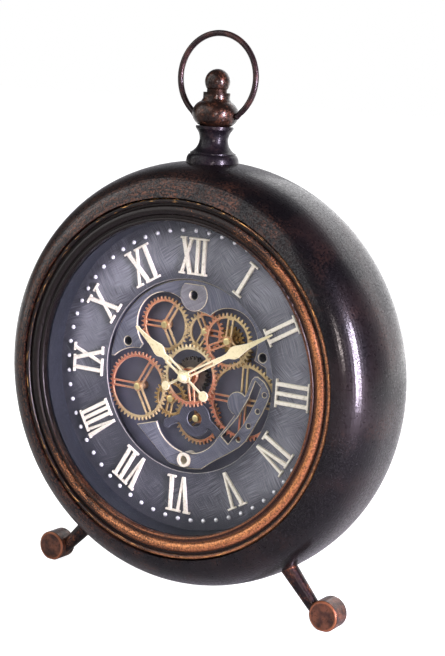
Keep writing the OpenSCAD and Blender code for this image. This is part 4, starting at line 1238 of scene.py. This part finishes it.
@dataclass
class Studio:
    """The pale floor, the lamps and the camera at the photograph's viewing angle."""

    focal_pixels: float = 1541.0
    long_side: int = 656
    sensor: float = 36.0
    eye: Point = (549.139, -876.586, 196.131)
    right: Point = (0.851351, 0.52041, 0.066124)
    upward: Point = (-0.136196, 0.09755, 0.985867)
    floor_reach: float = 30.0
    lamp_target: Point = (0.0, 0.0, 0.16)

    def build(self) -> None:
        """Builds the studio."""
        scene = bpy.context.scene
        scene.view_settings.view_transform = "Standard"
        self.camera(scene)
        self.world(scene)
        self.floor()
        self.softbox("key", (-1.05, -1.6, 1.3), (3.0, 2.3), 44)
        self.softbox("front", (0.84, -1.38, 0.42), (0.3, 0.3), 7, "fff0ee")
        self.softbox("right strip", (1.35, -0.4, 0.35), (0.15, 0.8), 88, "f2e6ff")
        self.softbox("back", (0.2, 1.5, 0.7), (1.6, 1.6), 13)
        self.softbox("left", (-1.4, -0.5, 0.5), (0.4, 1.2), 3)

    def camera(self, scene: bpy.types.Scene) -> None:
        """Sets the camera.

        Args:
            scene: The scene.
        """
        lens = bpy.data.cameras.new("camera")
        lens.sensor_width = self.sensor
        lens.lens = self.sensor * self.focal_pixels / self.long_side
        lens.clip_end = 80
        eye = bpy.data.objects.new("camera", lens)
        side = Vector(self.right).normalized()
        back = side.cross(Vector(self.upward)).normalized()
        top = back.cross(side)
        turn = Matrix((side, top, back)).transposed().to_4x4()
        eye.matrix_world = Matrix.Translation(metres(*self.eye)) @ turn
        scene.collection.objects.link(eye)
        scene.camera = eye

    def world(self, scene: bpy.types.Scene) -> None:
        """Makes the world white to the eye and soft to the object, which mirrors a white wall behind
        it and a dim room in front.

        Args:
            scene: The scene.
        """
        world = bpy.data.worlds.new("studio")
        scene.world = world
        world.use_nodes = True
        add = Nodes(world.node_tree).add
        ray = add("LightPath").outputs
        soft = add("Background", {"Color": linear("e8e8e8"), "Strength": 0.82})
        way = add("SeparateXYZ", [add("TexCoord").outputs["Generated"]]).outputs["Y"]
        behind = add("MapRange", [way, 0.35, 0.8, 0.07, 0.6], **SMOOTH)
        mirrored = add("Background", {"Color": linear("f4f2fa"), "Strength": behind})
        plain = add("Background", {"Color": WHITE, "Strength": 1.0})
        around = add("MixShader", [ray["Is Glossy Ray"], soft, mirrored])
        direct = add("Math", [ray["Is Camera Ray"], ray["Is Transmission Ray"]], operation="MAXIMUM")
        add("OutputWorld", {"Surface": add("MixShader", [direct, around, plain])})

    def floor(self) -> None:
        """Lays the pale floor, which stays white to the eye but for the shadow."""
        far = self.floor_reach
        mesh = bpy.data.meshes.new("floor")
        mesh.from_pydata([(-far, -far, 0), (far, -far, 0), (far, far, 0), (-far, far, 0)], [], [(0, 1, 2, 3)])
        plane = add_object("floor", mesh)
        material = bpy.data.materials.new("white paper sweep")
        material.use_nodes = True
        add = Nodes(material.node_tree).add
        ray = add("LightPath").outputs
        paper = add("BsdfDiffuse", {"Color": linear("a8a8a8")})
        glow = add("Emission", {"Color": WHITE, "Strength": 0.92})
        way = add("SeparateXYZ", [add("TexCoord").outputs["Object"]]).outputs["Y"]
        behind = add("MapRange", {"Value": way, "From Max": 0.5, "To Max": 0.8})
        wall = add("Emission", {"Color": WHITE, "Strength": behind})
        mirrored = add("AddShader", [paper, wall])
        around = add("MixShader", [ray["Is Glossy Ray"], paper, mirrored])
        direct = add("AddShader", [paper, glow])
        add("OutputMaterial", {"Surface": add("MixShader", [ray["Is Camera Ray"], around, direct])})
        dress(plane, material)

    def softbox(self, name: str, place: Point, size: Flat, power: float, tint: str = "ffffff") -> None:
        """Hangs one softbox that faces the clock.

        Args:
            name: Its name.
            place: Its place in metres.
            size: Width and height in metres.
            power: Watts.
            tint: The light's colour.
        """
        light = bpy.data.lights.new(name, "AREA")
        light.shape = "RECTANGLE"
        light.size, light.size_y = size
        light.energy = power
        light.color = linear(tint)[:3]
        lamp = bpy.data.objects.new(name, light)
        lamp.location = place
        way = Vector(self.lamp_target) - Vector(place)
        lamp.rotation_euler = way.to_track_quat("-Z", "Y").to_euler()
        bpy.context.scene.collection.objects.link(lamp)


def finishes() -> dict[str, bpy.types.Material]:
    """Builds every finish once.

    Returns:
        The finish's name to its material.
    """
    # Copper plating over brass: pink where the plating is whole, yellow where it has worn off
    wheel_looks = [
        AgedWheel("centre_wheel" + PLATED, (0, 0), 120, 20, "cd8468", "e0cfa2"),
        AgedWheel("upper_right_wheel" + PLATED, (28.1, 27.8), 20, 16, "d08e6e", "cdb585"),
        AgedWheel("left_wheel" + PLATED, (-42.3, -13.9), -50, 22, "cc8168", "c8b084"),
        AgedWheel("upper_middle_wheel" + PLATED, (8.4, 31.2), 200, 14, "cd8868", "c8b084"),
        AgedWheel("upper_left_wheel" + PLATED, (-24.6, 31.8), -30, 18, "d38c6a", "c8b084"),
        AgedWheel("right_wheel" + PLATED, (41.6, -11.8), 60, 24, "c47a62", "cdb585"),
        AgedWheel("lower_left_wheel" + PLATED, (-16.2, -19.0), 0, 60, "a98a58", "a98a58"),
        AgedWheel("bottom_wheel" + PLATED, (4.8, -29.6), 180, 30, "c67a58", "a08c68"),
    ]
    looks: list[Finish] = [
        # Oil-rubbed bronze lacquer: nearly black and half glossy, rust brown on what is touched; painted
        # shade in the finial's neck, painted highlights on the feet's rims and the bezel's lower right
        RubbedShell("case bronze lacquer", rub=0.7),
        RubbedBronze("cover bronze lacquer", "100c0d", "1c1513", "5a3a2a", 0.3, 30, 0.7),
        # The finial's band of heights is its neck under the ball, painted dark as shade
        RubbedBronze(
            "finial bronze lacquer", "1a110d", "2c1c15", "7a4a33", 0.34, 4, 0.9, 0.6, painted_shade_band=(191.2, 195.2)
        ),
        RubbedBronze("neck bronze lacquer", "0f0c10", "161116", "3a2822", 0.2, 8, 0.35),
        RubbedBronze("bail bronze lacquer", "201617", "352321", "5c3c2f", 0.3, 9, 0.6, 0.6),
        RubbedBronze("leg bronze lacquer", "181012", "281a18", "8a5436", 0.4, 6, 0.6, 0.5),
        RubbedDrum("left foot bronze lacquer", "2c1c16", "432a20", "b06c48", 0.7, 5, centre=(-113.35, -146)),
        RubbedDrum("right foot bronze lacquer", "2c1c16", "432a20", "b06c48", 0.7, 5, centre=(113.35, -146)),
        RubbedBezel("bezel rubbed copper"),
        ClearGlass("float glass"),
        # Blackened steel sheet: blue grey, with pale scratches where it has been rubbed back; the dial also
        # has painted highlights and painted shade in patches and outside the studs
        DialSlate("dial blackened steel", "3d3e46", "8c8e96", 0.42, 0.36, 0.3, 24),
        BrushedSlate("wall ring blackened steel", "22252b", "363a42", 2.0, 0.3),
        BrushedSlate("plate blackened steel", "50525f", "84868f", 0.7, 0.4),
        BrushedSlate("tab blackened steel", "6b6a70", "98969a", 0.8, 0.4),
        BrushedSlate("bridge blackened steel", "3a3b47", "565763", 0.6, 0.3),
        BrushedSlate("pillar blackened steel", "3a3c44", "6a6c74", 1.2, 0.4),
        # Bare cut edges and thin paint: pale, with darker specks; the pale chamfers of plates, bridge, dial
        # and wheels also carry a painted highlight
        WornPaint("plate edge worn steel", "d0c6ab", "7c7568", 0.8, 0.3, 0.35),
        WornPaint("bridge edge worn steel", "6d7078", "3c3f48", 0.5, 0.3, 0.4),
        WornPaint("dial edge worn steel", "8a8884", "4c4d54", 0.8, 0.3, 0.4),
        WornPaint("numeral ivory enamel", "dedacc", "8f8670", 0.5, 0.1, 0.42),
        WornPaint("numeral edge enamel", "d6cfbd", "8a8273", 0.5, 0.2, 0.42),
        WornPaint("boss ivory enamel", "ddd6c4", "8f8877", 0.4, 0.3, 0.4),
        WornPaint("wheel edge worn brass", "dcc79c", "8c6a48", 0.4, 0.6, 0.35),
        # Gold-plated steel hands: straw yellow, brighter on the chamfer
        WornPaint("hand gold plate", "e2d7ac", "a4945f", 0.5, 0.45, 0.32),
        WornPaint("hand edge gold plate", "f6f0d4", "b9a873", 0.25, 0.45, 0.3),
        # Turned and plated metals: even, with a soft gloss
        PlainMetal("stud polished aluminium", "e2e4e8", 0.26, 0.4),
        PlainMetal("post polished brass", "e3d39a", 0.28),
        PlainMetal("pinion aged brass", "a98c56", 0.4),
        PlainMetal("pinion steel", "6a6460", 0.4),
        PlainMetal("nut copper plate", "c07a58", 0.35),
        PlainMetal("zinc plated steel", "a9acb1", 0.35),
        # ABS mouldings and painted walls: dull and dark
        MouldedPlastic("black moulded ABS"),
        MouldedPlastic("wall navy moulded ABS", "20212a", 0.5),
        MouldedPlastic("base navy moulded ABS", "474855", 0.55),
        MouldedPlastic("cell vinyl sleeve", "3f4a3c", 0.35),
    ]
    return {look.name: look.build() for look in looks + wheel_looks}


def main() -> None:
    """Loads the frame, builds every sub-assembly and sets the studio."""
    logging.basicConfig(level=logging.INFO, format="%(name)s: %(message)s")
    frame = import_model()
    looks = finishes()
    for assembly in (Case, Dial, GearDisplay, Drive):
        assembly(frame["nodes"], looks).build()
        LOG.info("%s is done", assembly.__name__)
    Studio().build()


if __name__ == "__main__":
    main()
